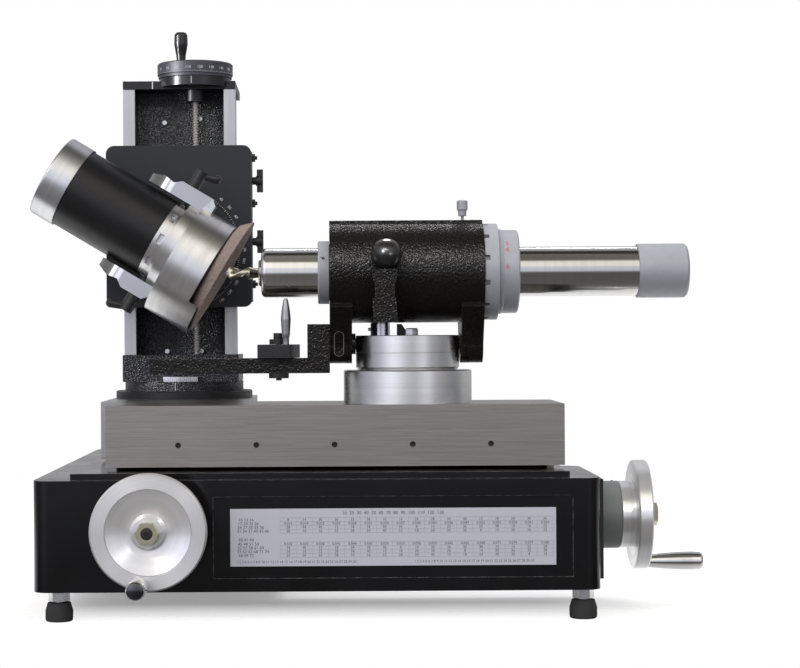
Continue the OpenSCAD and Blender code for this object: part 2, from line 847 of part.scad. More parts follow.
// Crank handle along Z, turning on its pin
module crank_handle(turn) {
    hole = handle_pin_r + 2 * run_gap;
    depth = handle_l - 6;
    rotate([0, 0, turn]) translate([crank_r, 0, hub_l + wheel_t + 0.3]) rotate_extrude() polygon([
        [hole, 0], [handle_root_r, 0], [handle_root_r + 0.3, 3], [handle_r - 1.4, handle_l * 0.3],
        [handle_r - 0.2, handle_l * 0.6], [handle_r, handle_l * 0.8], [handle_r - 0.5, handle_l - 3],
        [handle_r - 1.8, handle_l - 0.8], [handle_r - 3.4, handle_l], [0, handle_l], [0, depth],
        [hole, depth]
    ]);
}

module x_handle() {
    placed() color("#d4d4d6") along_x([base_w + collar_l + 0.3, x_axis_y, feed_z]) crank_handle(0);
}

module y_handle() {
    placed() color("#d4d4d6") along_front([y_axis_x, -collar_l - 0.3, feed_z])
        crank_handle(-90 - front_crank_turn);
}

// Front faces of the holes for the gib screws
gib_first = table_mid - gib_pitch * (gib_count - 1) / 2 - 0.5;

module table() {
    bottom = deck_z + deck_gap;
    placed() color("#a9a7a0") difference() {
        translate([table_x, table_y, bottom]) cube([table_w, table_d, table_z - bottom]);
        run_x(table_x - 1, table_w + 2) channel_profile();
        for (i = [0:gib_count - 1])
            along_y([gib_first + i * gib_pitch, table_y - 1, gib_z])
                cylinder(r = gib_hole_r, h = table_d / 3);
    }
}

// Gib strip of the table with its set screws
module x_gib() {
    face_y = x_axis_y - flank(gib_z + gib_hole_r - deck_z) - (gib_t + slide_gap) / sin(way_angle) - 0.3;
    placed() color("#6f6f6c") {
        run_x(table_x + 8, table_w - 16) gib_profile();
        for (i = [0:gib_count - 1])
            along_y([gib_first + i * gib_pitch, table_y + gib_sink, gib_z]) difference() {
                cylinder(r = gib_hole_r, h = face_y - table_y - gib_sink);
                translate([0, 0, -1]) hex_bar(socket_af, 3);
            }
    }
}

// Feed nut along X or Y: a block round the screw and a neck up through the slot
module feed_nut(height) {
    difference() {
        union() {
            translate([-nut_l / 2, -nut_w / 2, -nut_w / 2]) cube([nut_l, nut_w, nut_w]);
            translate([-neck_l / 2, -neck_w / 2, 0]) cube([neck_l, neck_w, height]);
        }
        along_x([-nut_l, 0, 0]) cylinder(r = screw_r + run_gap, h = 2 * nut_l);
    }
}

module x_feed_nut() {
    placed() color("#b08d4a") translate([table_mid, x_axis_y, feed_z])
        feed_nut(deck_z + way_h + slide_gap - feed_z);
}

module y_feed_nut() {
    placed() color("#b08d4a") translate([y_axis_x, saddle_mid, feed_z]) rotate([0, 0, 90])
        feed_nut(deck_z + way_h + slide_gap - feed_z);
}

// Spigot that the work head swivels on
wh_spigot_r = 15;
wh_spigot_h = 16;

module workhead_base() {
    placed() color("#b9b9b7") translate([head_x, x_axis_y, table_z]) rotate_extrude($fn = 128) polygon([
        [0, 0], [wh_base_r, 0], [wh_base_r, wh_base_h - 0.8], [wh_base_r - 0.8, wh_base_h],
        [wh_spigot_r, wh_base_h], [wh_spigot_r, wh_base_h + wh_spigot_h], [0, wh_base_h + wh_spigot_h]
    ]);
}

// Swivel of the work head, with a groove round it and holes for the rocking pins
module swivel_head() {
    groove_z = swivel_h / 2;
    hole = wh_spigot_r + run_gap;
    placed() color("#c0c0be") translate([head_x, x_axis_y, swivel_z]) difference() {
        rotate_extrude($fn = 128) polygon([
            [hole, 0], [swivel_r - 2.6, 0], [swivel_r, 3], [swivel_r, groove_z - 0.4],
            [swivel_r - 0.5, groove_z], [swivel_r, groove_z + 0.4], [swivel_r, swivel_h - 0.6],
            [swivel_r - 0.6, swivel_h], [0, swivel_h], [0, wh_spigot_h + 0.5], [hole, wh_spigot_h + 0.5]
        ]);
        for (x = [-swivel_r - 1, swivel_r - pin_depth - 0.5])
            along_x([x, 0, swivel_h - pivot_down]) cylinder(r = pivot_r + run_gap, h = pin_depth + 1.5);
    }
}

// Depth of a rocking pin in the swivel
pin_depth = 14;

// Stop post with its set screw, clamp bolt and pointer block
module swivel_stops() {
    placed() translate([head_x, x_axis_y, swivel_top]) {
        color("#b4b4c0") union() {
            translate([-post_left, post_back, 0]) cylinder(r = post_r, h = post_top - swivel_top);
            along_x([-post_left - post_r - 2.5, post_back, 6.5]) cylinder(r = 1.8, h = 6);
        }
        color("silver") translate([4.7, 0, 0]) rotate([0, 0, 30]) hex_bar(13, 7.5);
        color("#1c1c1c") translate([-10.6, 17, 0]) rotate([90, 0, 0]) linear_extrude(8)
            polygon([[0, 0], [9, 0], [9, 6], [5, 12], [0, 12]]);
    }
}

// One leg of the work head, seen along X: a taper with a round end about the rocking pin
module leg_profile() {
    union() {
        circle(r = leg_end_r);
        polygon([
            [-leg_end_r, 0], [leg_end_r, 0], [leg_top_w / 2, leg_top_up - 6],
            [leg_top_w / 2 - 6, leg_top_up], [6 - leg_top_w / 2, leg_top_up], [-leg_top_w / 2, leg_top_up - 6]
        ]);
    }
}

// Points of the knob's arm, seen from the front: waisted, with flared ends
function arm_points() = let (h = arm_top - arm_foot, w = arm_w / 2) [
    [-w + 1, 0], [w, 0], [w - 1, h * 0.3], [w - 3, h * 0.5], [w - 2.5, h * 0.7], [w, h * 0.9], [w, h],
    [-w, h], [-w, h * 0.9], [3 - w, h * 0.7], [3 - w, h * 0.5], [2 - w, h * 0.3]
];

// Work head body: barrel, legs, top strip and the knob's arm
module workhead_body() {
    barrel_l = barrel_end - barrel_x;
    slot_mid = left_leg_x + leg_t / 2 - 2;
    boss_r = pivot_r + 5;
    placed() color("#262321") difference() {
        union() {
            along_x([barrel_x, x_axis_y, spindle_z]) cylinder(r = barrel_r, h = barrel_l, $fn = 96);
            translate([barrel_x, x_axis_y - strip_w / 2, spindle_z + barrel_r - 8])
                cube([barrel_l, strip_w, 8 + strip_h]);
            for (x = [left_leg_x, right_leg_x])
                translate([x, x_axis_y, rock_z]) rotate([90, 0, 90]) linear_extrude(leg_t) leg_profile();
            along_x([left_leg_x + leg_t - 1, x_axis_y, rock_z]) cylinder(r = boss_r, h = leg_gap + 0.7);
            along_x([right_leg_x - right_gap + 0.3, x_axis_y, rock_z]) cylinder(r = boss_r, h = right_gap);
            translate([arm_x, arm_y + arm_d, arm_foot]) rotate([90, 0, 0]) linear_extrude(arm_d)
                polygon(arm_points());
            translate([arm_x - arm_w / 2 + 1, arm_y + arm_d - 1, arm_foot + 9]) cube([arm_w - 2, 26, 16]);
        }
        along_x([barrel_x - 1, x_axis_y, spindle_z])
            cylinder(r = sleeve_r + run_gap, h = barrel_l + 2, $fn = 96);
        along_x([left_leg_x - 1, x_axis_y, rock_z]) cylinder(r = pivot_r, h = leg_t + leg_gap + 2);
        along_x([right_leg_x - right_gap, x_axis_y, rock_z]) cylinder(r = pivot_r, h = leg_t + leg_gap);
        translate([pin_x, x_axis_y, spindle_z]) cylinder(r = pin_r + run_gap, h = barrel_r + strip_h + 1);
        translate([arm_x + 2, arm_y + arm_d / 2, arm_top - 9]) cylinder(r = 3, h = 10);
        translate([slot_mid - 4.4, x_axis_y - leg_end_r - 1, rock_z - 8]) cube([8.8, 9, 16]);
        for (z = [rock_z - 8, rock_z + 8])
            along_y([slot_mid, x_axis_y - leg_end_r - 1, z]) cylinder(r = 4.4, h = 9);
    }
}

// Rocking pins, from the outside of each leg into the swivel
module yoke_pivots() {
    length = leg_t + right_gap + pin_depth;
    placed() color("#3a3a3c") {
        along_x([left_leg_x, x_axis_y, rock_z]) cylinder(r = pivot_r, h = leg_t + leg_gap + pin_depth);
        along_x([barrel_end - length, x_axis_y, rock_z]) cylinder(r = pivot_r, h = length);
    }
}

module ball_knob() {
    ball_z = arm_top + ball_r - 0.6;
    placed() color("#0c0c0c") translate([arm_x + 2, arm_y + arm_d / 2, 0]) union() {
        difference() {
            translate([0, 0, ball_z]) sphere(r = ball_r, $fn = 96);
            translate([-ball_r, -ball_r, arm_top - ball_r]) cube([2 * ball_r, 2 * ball_r, ball_r]);
        }
        translate([0, 0, arm_top - 8]) cylinder(r = 3, h = 10);
    }
}

// Bar of the tooth rest with its upright against the left leg
module rest_bar() {
    slot_x = bar_x + 11;
    slot_end = block_x + 8;
    placed() color("#202022") difference() {
        union() {
            translate([bar_x, bar_y - bar_d / 2, bar_top - bar_h]) cube([bar_l, bar_d, bar_h]);
            translate([left_leg_x - upright_w, bar_y - bar_d / 2, bar_top - bar_h])
                cube([upright_w, bar_d, bar_h + upright_h]);
        }
        translate([slot_x, bar_y - slot_w / 2, bar_top - bar_h - 1])
            cube([slot_end - slot_x, slot_w, bar_h + 2]);
    }
}

// Collar that holds the index sleeve at the front, with its set screw hole
module front_collar() {
    placed() color("#b9bac4") along_x([collar_x, x_axis_y, spindle_z]) difference() {
        rotate_extrude($fn = 96) polygon([
            [sleeve_r, 0], [front_collar_r - 1, 0], [front_collar_r, 1], [front_collar_r, front_collar_l],
            [sleeve_r, front_collar_l]
        ]);
        rotate([90, 0, -25]) translate([0, front_collar_l / 2, sleeve_r - 1]) cylinder(r = 1.6, h = 8);
    }
}

// Index ring with its notches, in one piece with the sleeve that turns in the barrel
module index_ring() {
    sleeve_end = number_x + number_l;
    placed() color("#b9bac4") along_x([0, x_axis_y, spindle_z]) difference() {
        union() {
            tube(sleeve_r, spindle_r + run_gap, collar_x, sleeve_end, $fn = 96);
            tube(index_r, spindle_r + run_gap, index_x, index_x + index_l, $fn = 96);
        }
        for (i = [0:notch_count - 1])
            rotate([0, 0, (i + 0.5) * 360 / notch_count])
                translate([index_r - notch_t, -notch_w / 2, index_x - 1])
                    cube([notch_t + 2, notch_w, notch_w + 1]);
    }
}

module number_ring() {
    placed() color("#bcbcc6") along_x([number_x, x_axis_y, spindle_z]) rotate_extrude($fn = 96) polygon([
        [sleeve_r, 0], [number_r + 0.8, 0], [number_r + 0.8, 4], [number_r, 4.8],
        [number_r, number_l - 1.5], [number_r - 1.5, number_l], [sleeve_r, number_l]
    ]);
}

// Spindle tube with a rounded nose and a seat for the collet
module spindle_tube() {
    nose_r = 5;
    arc = [for (i = [0:6]) [spindle_r - nose_r + nose_r * sin(i * 15), nose_r - nose_r * cos(i * 15)]];
    placed() color("#c4c2ba") along_x([nose_x, x_axis_y, spindle_z]) rotate_extrude($fn = 96) polygon(concat(
        [[collet_r, 0]], arc,
        [[spindle_r, spindle_l], [spindle_bore_r, spindle_l], [spindle_bore_r, collet_l],
         [collet_r, collet_l - collet_out]]
    ));
}

// Width of the slits in the collet
collet_slit = 0.8;

module collet() {
    placed() color("#9b9b9b") along_x([nose_x - collet_out, x_axis_y, spindle_z]) difference() {
        rotate_extrude($fn = 64) polygon([
            [cutter_r, 0], [collet_r - 1.5, 0], [collet_r, 1.5], [collet_r, collet_l], [cutter_r, collet_l]
        ]);
        for (turn = [0, 60, 120])
            rotate([0, 0, turn]) translate([-collet_r - 1, -collet_slit / 2, -1])
                cube([2 * collet_r + 2, collet_slit, collet_l * 0.8]);
    }
}

// Two-fluted cutter: shank, and a fluted end that comes to a point
module end_mill() {
    total = cutter_out + cutter_in;
    flute_l = cutter_out * 0.72;
    point_l = cutter_r * 0.8;
    tip_x = nose_x - collet_out - cutter_out;
    placed() color("#c9c7c0") along_x([tip_x, x_axis_y, spindle_z]) difference() {
        union() {
            cylinder(r1 = 0.4, r2 = cutter_r, h = point_l, $fn = 64);
            translate([0, 0, point_l]) cylinder(r = cutter_r, h = total - point_l);
        }
        for (turn = [0, 180])
            rotate([0, 0, turn]) translate([cutter_r * 0.95, 0, -2]) rotate([14, 0, 0])
                cylinder(r = cutter_r * 0.62, h = flute_l, $fn = 32);
    }
}

module spindle_cap() {
    covered = cap_l - cap_over;
    placed() color("#9d9da2") along_x([cap_x, x_axis_y, spindle_z]) rotate_extrude($fn = 96) polygon([
        [spindle_r, 0], [cap_r - 0.8, 0], [cap_r, 0.8], [cap_r, cap_l - 2.5], [cap_r - 2.5, cap_l],
        [spindle_bore_r, cap_l], [spindle_bore_r, covered],
        [spindle_r, covered]
    ]);
}

// Index pin: a knurled knob on a thin stem, over a pin that runs in the barrel
module index_pin() {
    top = spindle_z + barrel_r + strip_h;
    tip = spindle_z + sleeve_r + 0.5;
    placed() color("#b5b5bb") translate([pin_x, x_axis_y, 0]) union() {
        translate([0, 0, tip]) cylinder(r = pin_r, h = top - tip - pin_lift - 1);
        translate([0, 0, top - pin_lift - 2]) cylinder(r = 1.7, h = pin_lift + 8);
        translate([0, 0, top + 5]) rotate_extrude() polygon([
            [0, 0], [pin_knob_r - 1.6, 0], [pin_knob_r - 1.2, pin_knob_l * 0.35],
            [pin_knob_r, pin_knob_l * 0.4], [pin_knob_r, pin_knob_l - 1],
            [pin_knob_r - 1, pin_knob_l], [0, pin_knob_l]
        ]);
    }
}

// Clamp bolt of the tooth rest, with its washer above the block and its nut under the bar
module rest_bolt() {
    nut_h = 5;
    bottom = bar_top - bar_h;
    top = block_z + block_h + slide_gap;
    placed() color("#4a4a4e") translate([block_x, bar_y, 0]) union() {
        translate([0, 0, bottom - 2.5 - nut_h]) cylinder(r = block_bolt_r, h = top - bottom + nut_h + 8);
        translate([0, 0, bottom - slide_gap - nut_h]) cylinder(r = block_bolt_r + 7.5, h = nut_h);
        translate([0, 0, top]) cylinder(r = washer_r, h = 5.4);
        translate([0, 0, top + 5.4]) cylinder(r = block_bolt_r + 2.5, h = 6.4);
    }
}

module rest_block() {
    placed() color("#242426") translate([block_x, bar_y, block_z]) rotate([0, 0, -block_turn]) difference() {
        translate([-block_w / 2, -block_w / 2, 0]) cube([block_w, block_w, block_h]);
        translate([0, 0, -1]) cylinder(r = block_bolt_r + run_gap, h = block_h + 2);
        translate([finger_dx + 4, finger_dy - 3, -1]) cylinder(r = 2, h = block_h + 2);
    }
}

// Tapered finger of the tooth rest, pressed into the clamp block
module rest_finger() {
    placed() color("#8f9094") translate([block_x, bar_y, block_z]) rotate([0, 0, -block_turn])
        translate([finger_dx + 4, finger_dy - 3, 0]) union() {
            cylinder(r = 2, h = block_h + 1);
            translate([0, 0, block_h]) rotate_extrude() polygon([
                [0, 0], [3.4, 0], [3.4, finger_h * 0.14], [4.2, finger_h * 0.2], [finger_r, finger_h * 0.55],
                [finger_r - 1, finger_h * 0.76], [2.6, finger_h * 0.95], [1.6, finger_h], [0, finger_h]
            ]);
        }
}

// Slide of the column, which runs on the column way
module y_saddle() {
    bottom = deck_z + deck_gap;
    placed() color("#a5a5a2") difference() {
        translate([column_x - saddle_w / 2, saddle_y, bottom]) cube([saddle_w, saddle_d, saddle_z - bottom]);
        run_y(saddle_y - 1, saddle_d + 2) channel_profile();
        for (i = [0:gib_count - 2])
            along_x([column_x - saddle_w / 2 - 1, y_gib_first + i * y_gib_pitch, gib_z])
                cylinder(r = gib_hole_r, h = saddle_w / 3);
    }
}

// Places of the gib screws in the column's slide
y_gib_pitch = (saddle_d - 60) / (gib_count - 2);
y_gib_first = saddle_y + 30;

module y_gib() {
    face_x = y_axis_x - flank(gib_z + gib_hole_r - deck_z) - (gib_t + slide_gap) / sin(way_angle) - 0.3;
    start = column_x - saddle_w / 2 + gib_sink;
    placed() color("#6f6f6c") {
        run_y(saddle_y + 6, saddle_d - 12) gib_profile();
        for (i = [0:gib_count - 2])
            along_x([start, y_gib_first + i * y_gib_pitch, gib_z]) difference() {
                cylinder(r = gib_hole_r, h = face_x - start);
                translate([0, 0, -1]) hex_bar(socket_af, 3);
            }
    }
}

// Spigot that the column swivels on
column_spigot_r = 25;
column_spigot_h = 8;
// Foot block's and cap's overhang, ends of the rear recess, screw's bearings
block_edge = 2;
recess_foot = 12;
recess_head = 14;
bearing_l = 13;
bearing_r = 11.5;

module column_flange() {
    placed() color("#1d1d20") translate([column_x, column_y, saddle_z]) rotate_extrude($fn = 128) polygon([
        [0, 0], [flange_r, 0], [flange_r, flange_h - 1], [flange_r - 1, flange_h],
        [column_spigot_r, flange_h], [column_spigot_r, flange_h + column_spigot_h],
        [0, flange_h + column_spigot_h]
    ]);
}

// Column casting: swivel ring, foot block and an H-shaped column
module column_casting() {
    depth = column_d;
    rear_y = casting_y + recess_d + web_t;
    placed() color("#2a2928") difference() {
        union() {
            translate([column_x, column_y, ring_z]) cylinder(r = ring_r, h = ring_h, $fn = 128);
            translate([column_x - column_w / 2 - block_edge, way_y - block_edge, ring_top - eps])
                cube([column_w + 2 * block_edge, depth + column_way_t + block_edge, foot_block_h + eps]);
            translate([column_x - casting_w / 2, casting_y, column_z - 1])
                cube([casting_w, depth, column_h + 1]);
        }
        translate([column_x, column_y, ring_z - 1])
            cylinder(r = column_spigot_r + run_gap, h = column_spigot_h + 1.5);
        translate([column_x - recess_w / 2, casting_y - 1, column_z])
            cube([recess_w, recess_d + 1, column_h + 1]);
        translate([column_x - recess_w / 2, rear_y, column_z + recess_foot])
            cube([recess_w, depth, column_h - recess_foot - recess_head]);
        translate([z_screw_x, z_screw_y, column_z - bearing_l])
            cylinder(r = z_screw_r + run_gap, h = bearing_l + 1);
    }
}

module column_ways() {
    placed() color("#c6c8d2") for (x = [column_x - column_w / 2, column_x + column_w / 2 - column_way_w])
        translate([x, way_y, column_z]) cube([column_way_w, column_way_t, column_h]);
}

// Cap of the column with the index ring and the upper bearing of the screw
module column_cap() {
    placed() color("#17171b") difference() {
        union() {
            translate([column_x - column_w / 2, way_y - block_edge, column_top])
                cube([column_w, column_d + column_way_t + block_edge, cap_t]);
            translate([z_screw_x, z_screw_y, ring_base_z]) cylinder(r = z_ring_r, h = z_ring_h, $fn = 96);
            translate([z_screw_x, z_screw_y, column_top - bearing_l])
                cylinder(r = bearing_r, h = bearing_l + 1);
        }
        translate([z_screw_x, z_screw_y, column_top - bearing_l - 1])
            cylinder(r = z_screw_r + run_gap, h = bearing_l + cap_t + z_ring_h);
    }
}

module z_leadscrew() {
    bottom = column_z - bearing_l + 0.5;
    placed() color("#a9a49a") translate([z_screw_x, z_screw_y, bottom])
        cylinder(r = z_screw_r, h = dial_top - 4 - bottom);
}

// Graduated dial with the pin of its knob
module z_dial() {
    placed() color("#3b3b42") translate([z_screw_x, z_screw_y, dial_z]) union() {
        rotate_extrude($fn = 96) polygon([
            [z_screw_r, 0], [dial_r - 1.2, 0], [dial_r - 1.2, 3], [dial_r, 3.6], [dial_r, dial_h - 1.5],
            [dial_r - 1.5, dial_h], [0, dial_h], [0, dial_h - 3.8], [z_screw_r, dial_h - 3.8]
        ]);
        rotate([0, 0, -90 - knob_turn]) translate([knob_out, 0, dial_h - 1])
            cylinder(r = 2.5, h = knob_h - 4);
    }
}

module z_knob() {
    hole = 2.5 + 2 * run_gap;
    depth = knob_h - 4;
    placed() color("#101012") translate([z_screw_x, z_screw_y, dial_top + 0.3])
        rotate([0, 0, -90 - knob_turn]) translate([knob_out, 0, 0]) rotate_extrude() polygon([
            [hole, 0], [knob_r * 0.66, 0], [knob_r * 0.72, knob_h * 0.2], [knob_r * 0.95, knob_h * 0.5],
            [knob_r, knob_h * 0.6], [knob_r * 0.96, knob_h - 2.5], [knob_r - 2.2, knob_h], [0, knob_h],
            [0, depth], [hole, depth]
        ]);
}

// Slide plate with the guide between the ways and the nut round the screw
module z_plate() {
    guide_w = recess_w - 4 * slide_gap;
    guide_t = column_way_t - 1;
    nut_z = plate_z + plate_h * 0.62;
    nut_side = 22;
    placed() color("#2b2d31") difference() {
        union() {
            translate([column_x - plate_side, plate_y + plate_t, plate_z]) rotate([90, 0, 0])
                linear_extrude(plate_t) polygon(rounded_points(plate_w, plate_h, plate_r));
            translate([column_x - guide_w / 2, plate_y + plate_t - 1, plate_z + 8])
                cube([guide_w, guide_t + 1, guide_top - plate_z - 8]);
            translate([z_screw_x - nut_side / 2, way_y, nut_z]) cube([nut_side, z_screw_back + 9, 44]);
        }
        translate([z_screw_x, z_screw_y, nut_z - 1]) cylinder(r = z_screw_r + run_gap, h = 60);
        translate([z_screw_x, z_screw_y, plate_z]) cylinder(r = z_screw_r + 2, h = nut_z - plate_z - 4);
        translate([z_screw_x, z_screw_y, nut_z + 40]) cylinder(r = z_screw_r + 2, h = plate_h);
        along_y([tilt_x, plate_y - 1, tilt_z]) cylinder(r = spigot_r + run_gap, h = 14);
    }
}

// Plan of a keeper bar at the plate's right, with a lip behind the way
module keeper_plan(gib_room) {
    inner = way_side + slide_gap + gib_room;
    lip = casting_w / 2 + 2 * slide_gap + 0.2;
    polygon([
        [inner, 0], [plate_side, 0], [plate_side, keeper_t], [lip, keeper_t],
        [lip, column_way_t + 2 * slide_gap + 0.1], [inner, column_way_t + 2 * slide_gap + 0.1]
    ]);
}

// Keeper bars of the plate, the gib and the gib screws with their nuts
module z_keepers() {
    bar_z = plate_z + 6;
    bar_l = plate_h - 12;
    gib_x = column_x + way_side + slide_gap;
    screw_x = gib_x + z_gib_t + 0.1;
    screw_l = column_x + plate_side - screw_x;
    placed() {
        color("#1f2023") difference() {
            translate([column_x, way_y - slide_gap, bar_z]) linear_extrude(bar_l)
                keeper_plan(z_gib_t + 2 * slide_gap);
            for (z = gib_screw_places)
                along_x([gib_x, keeper_mid, z]) cylinder(r = gib_screw_r + run_gap, h = 2 * screw_l);
            for (z = lock_places)
                along_x([gib_x, keeper_mid, z]) cylinder(r = lock_r + run_gap, h = 2 * screw_l);
        }
        color("#1f2023") translate([column_x, way_y - slide_gap, bar_z]) linear_extrude(bar_l)
            mirror([1, 0]) keeper_plan(0);
        color("#6a6a6a") translate([gib_x, way_y - slide_gap + 0.2, bar_z + 2])
            cube([z_gib_t, column_way_t - 0.4, bar_l - 4]);
        color("silver") for (z = gib_screw_places) along_x([screw_x, keeper_mid, z]) {
            cylinder(r = gib_screw_r, h = screw_l + 6);
            translate([0, 0, screw_l + 0.05]) hex_bar(8, 3.5);
        }
    }
}

// Radius of a screw for the column's gib
gib_screw_r = 2.2;

// Lock screw, bearing on the column's gib, with a winged knob
module lock_knob(z) {
    tip = column_x + way_side + slide_gap + z_gib_t + 0.1;
    start = column_x + plate_side + 0.5;
    placed() color("#0f0f10") translate([0, keeper_mid, z]) union() {
        along_x([tip, 0, 0]) cylinder(r = lock_r, h = start - tip + 1);
        along_x([start, 0, 0]) cylinder(r = lock_r + 1.5, h = 6);
        along_x([start + 4, 0, 0]) cylinder(r = 6, h = 7);
        translate([start + 5, -3, -lock_wing / 2]) cube([7, 6, lock_wing]);
    }
}

module z_lock_upper() {
    lock_knob(lock_places[1]);
}

module z_lock_lower() {
    lock_knob(lock_places[0]);
}

// Tilting flange, its spigot and the block that carries the motor
module tilt_bracket() {
    flange_y = axis_out - tilt_t - 0.3;
    block_x0 = 28;
    block_back = 70;
    block_front = max(6, -flange_end - 0.5);
    on_head() color("#2c2e33") difference() {
        union() {
            along_y([0, flange_y, 0]) cylinder(r = tilt_r, h = tilt_t, $fn = 128);
            along_y([0, flange_y + tilt_t - 1, 0]) cylinder(r = spigot_r, h = 12.5);
            translate([-block_x0, motor_r * 0.6, -block_back])
                cube([2 * block_x0, flange_y - motor_r * 0.6 + 1, block_back - block_front]);
        }
        translate([0, 0, -block_back - 10]) cylinder(r = motor_r, h = block_back + 30, $fn = 96);
    }
}

// Motor body: a tube with the wound stator inside
module motor_body() {
    inner = motor_r - motor_wall;
    stator_l = 55;
    stator_z = motor_end + 22;
    on_head() color("#1a1a1c") union() {
        tube(motor_r, inner, motor_end, -motor_back, $fn = 96);
        tube(inner + 1, rotor_r + 1, stator_z, stator_z + stator_l, $fn = 96);
    }
}

// Radius of the motor's rotor
rotor_r = 26;

// End cap of the motor with its bearing's seat and the cable gland
module motor_cap() {
    inner = motor_cap_r - 4;
    gland_z = cap_end + motor_cap_l / 2;
    on_head() {
        color("#a8abb0") difference() {
            translate([0, 0, cap_end]) rotate_extrude($fn = 96) polygon([
                [0, 0], [motor_cap_r - 3, 0], [motor_cap_r - 1, 0.7], [motor_cap_r, 2.5],
                [motor_cap_r, motor_cap_l], [inner, motor_cap_l], [inner, 5], [22, 5],
                [22, motor_cap_l - 4], [shaft_r + run_gap, motor_cap_l - 4], [shaft_r + run_gap, 7], [0, 7]
            ]);
            along_y([0, motor_cap_r - 8, gland_z]) cylinder(r = 6, h = 10);
        }
        color("#151515") along_y([0, motor_cap_r - 5, gland_z]) difference() {
            union() {
                cylinder(r = 6, h = 6);
                translate([0, 0, 5.3]) hex_bar(17, 6);
                translate([0, 0, 11]) cylinder(r1 = 8, r2 = 6, h = 7);
            }
            translate([0, 0, -1]) cylinder(r = 3.2, h = 22);
        }
    }
}

// Front flange of the motor, with slots round it and the seat of the guard's ring
module motor_flange() {
    slots = 10;
    on_head() color("#b5b6ba") difference() {
        union() {
            tube(motor_r, shaft_r + run_gap, -motor_back, flange_end, $fn = 96);
            tube(guard_seat_r, shaft_r + run_gap, flange_end - 1, flange_end + guard_ring_l - 0.5);
        }
        for (i = [0:slots - 1])
            rotate([0, 0, (i + 0.5) * 360 / slots])
                translate([motor_r - 5, -5.5, -motor_back + 4]) cube([8, 11, motor_flange_l - 8]);
    }
}

// Radius of the seat that the guard turns on
guard_seat_r = 28;

// Motor shaft with the rotor, the wheel's seat and the nut that holds the wheel
module motor_shaft() {
    rotor_z = motor_end + 22;
    start = cap_end + 7.5;
    on_head() color("#9c9c9e") union() {
        translate([0, 0, start]) cylinder(r = shaft_r, h = wheel_seat + 18 - start);
        translate([0, 0, rotor_z]) cylinder(r = rotor_r, h = 55);
        translate([0, 0, wheel_seat - 6]) cylinder(r = 16, h = 6);
        translate([0, 0, wheel_seat + 9]) cylinder(r = 15, h = 2);
        translate([0, 0, wheel_seat + 11]) hex_bar(20, 7);
    }
}

// Flared cup wheel on its seat
module grinding_wheel() {
    back = wheel_seat;
    step = guard_end + 0.5;
    on_head() color("#8c7470") rotate_extrude($fn = 128) polygon([
        [shaft_r, back], [wheel_back_r - 3, back], [wheel_back_r, back + 3], [wheel_back_r, step],
        [rim_r - 10.2, step + 2.4], [rim_r, wheel_face - 0.6], [rim_r - 0.6, wheel_face],
        [rim_r - rim_face, wheel_face], [rim_r - 16.5, step + 4.8], [wheel_back_r - 8, step],
        [wheel_back_r - 9, back + 9], [shaft_r, back + 9]
    ]);
}

// Wheel guard: ring on the motor, offset drum with its skirt, and two clamping arms
module wheel_guard() {
    inner_r = guard_r - guard_wall;
    skirt_from = 42;
    bore = guard_seat_r + run_gap;
    on_head() color("#b3b3b5") difference() {
        union() {
            tube(guard_ring_r, bore, flange_end + 0.3, guard_z + 1, $fn = 96);
            translate([guard_off, 0, guard_z]) cylinder(r = guard_r, h = guard_wall + 1, $fn = 128);
            translate([guard_off, 0, 0]) tube(guard_r, inner_r, guard_z, guard_end, $fn = 128);
            intersection() {
                translate([guard_off, 0, 0])
                    tube(guard_r, inner_r, guard_end - 1, guard_end + skirt_l, $fn = 128);
                translate([skirt_from, -guard_r, guard_end - 2]) cube([guard_r, 2 * guard_r, skirt_l + 4]);
            }
            guard_arm(-1, guard_z + 11);
            guard_arm(1, guard_z - 2);
        }
        translate([0, 0, guard_z - 1]) cylinder(r = bore, h = guard_wall + 4);
        translate([guard_off, 0, guard_z + guard_wall]) cylinder(r = inner_r, h = guard_l, $fn = 128);
        for (side = [-1, 1])
            rotate([0, 90 * side, 0]) translate([-side * lever_place(side), 0, arm_in - 1])
                cylinder(r = 4 + run_gap, h = guard_arm_t + 4);
    }
}

// Distances of the upper and lower clamp levers from the tilting axis, along the head
lever_up = -14.5;
lever_low = -10;

function lever_place(side) = side < 0 ? lever_up : lever_low;

// One stepped arm of the guard, on the upper (-1) or lower (1) side
module guard_arm(side, reach) {
    start = guard_z + 11 - 18.2 - guard_arm_l - 6.5;
    outer = arm_in + guard_arm_t;
    mid = start + guard_arm_l * 0.62;
    translate([0, guard_arm_w / 2, 0]) rotate([90, 0, 0]) linear_extrude(guard_arm_w) polygon([
        [side * arm_in, start], [side * (arm_in + 9), start], [side * (outer - 4), start + 12],
        [side * (outer - 6), mid - 8], [side * outer, mid], [side * outer, reach - 6],
        [side * (outer - 6), reach], [side * arm_in, reach]
    ]);
}

// Clamp lever, built outwards along Z: stem, hub and a leaning lever
module clamp_lever(lean) {
    hub_z = arm_in + guard_arm_t + 0.3;
    top = hub_z + lever_hub_l;
    union() {
        translate([0, 0, motor_r + 0.5]) cylinder(r = 4, h = hub_z - motor_r + 1);
        translate([0, 0, hub_z]) cylinder(r = lever_hub_r, h = lever_hub_l);
        translate([0, 0, top - 5]) rotate([0, lean * 72, 0]) union() {
            cylinder(r1 = 3.6, r2 = 5, h = lever_l);
            translate([0, 0, lever_l]) sphere(r = 5);
        }
    }
}

module guard_lever_upper() {
    on_head() color("#121213") translate([0, 0, lever_place(-1)]) rotate([0, -90, 0]) clamp_lever(1);
}

module guard_lever_lower() {
    on_head() color("#121213") translate([0, 0, lever_place(1)]) rotate([0, 90, 0]) clamp_lever(1);
}

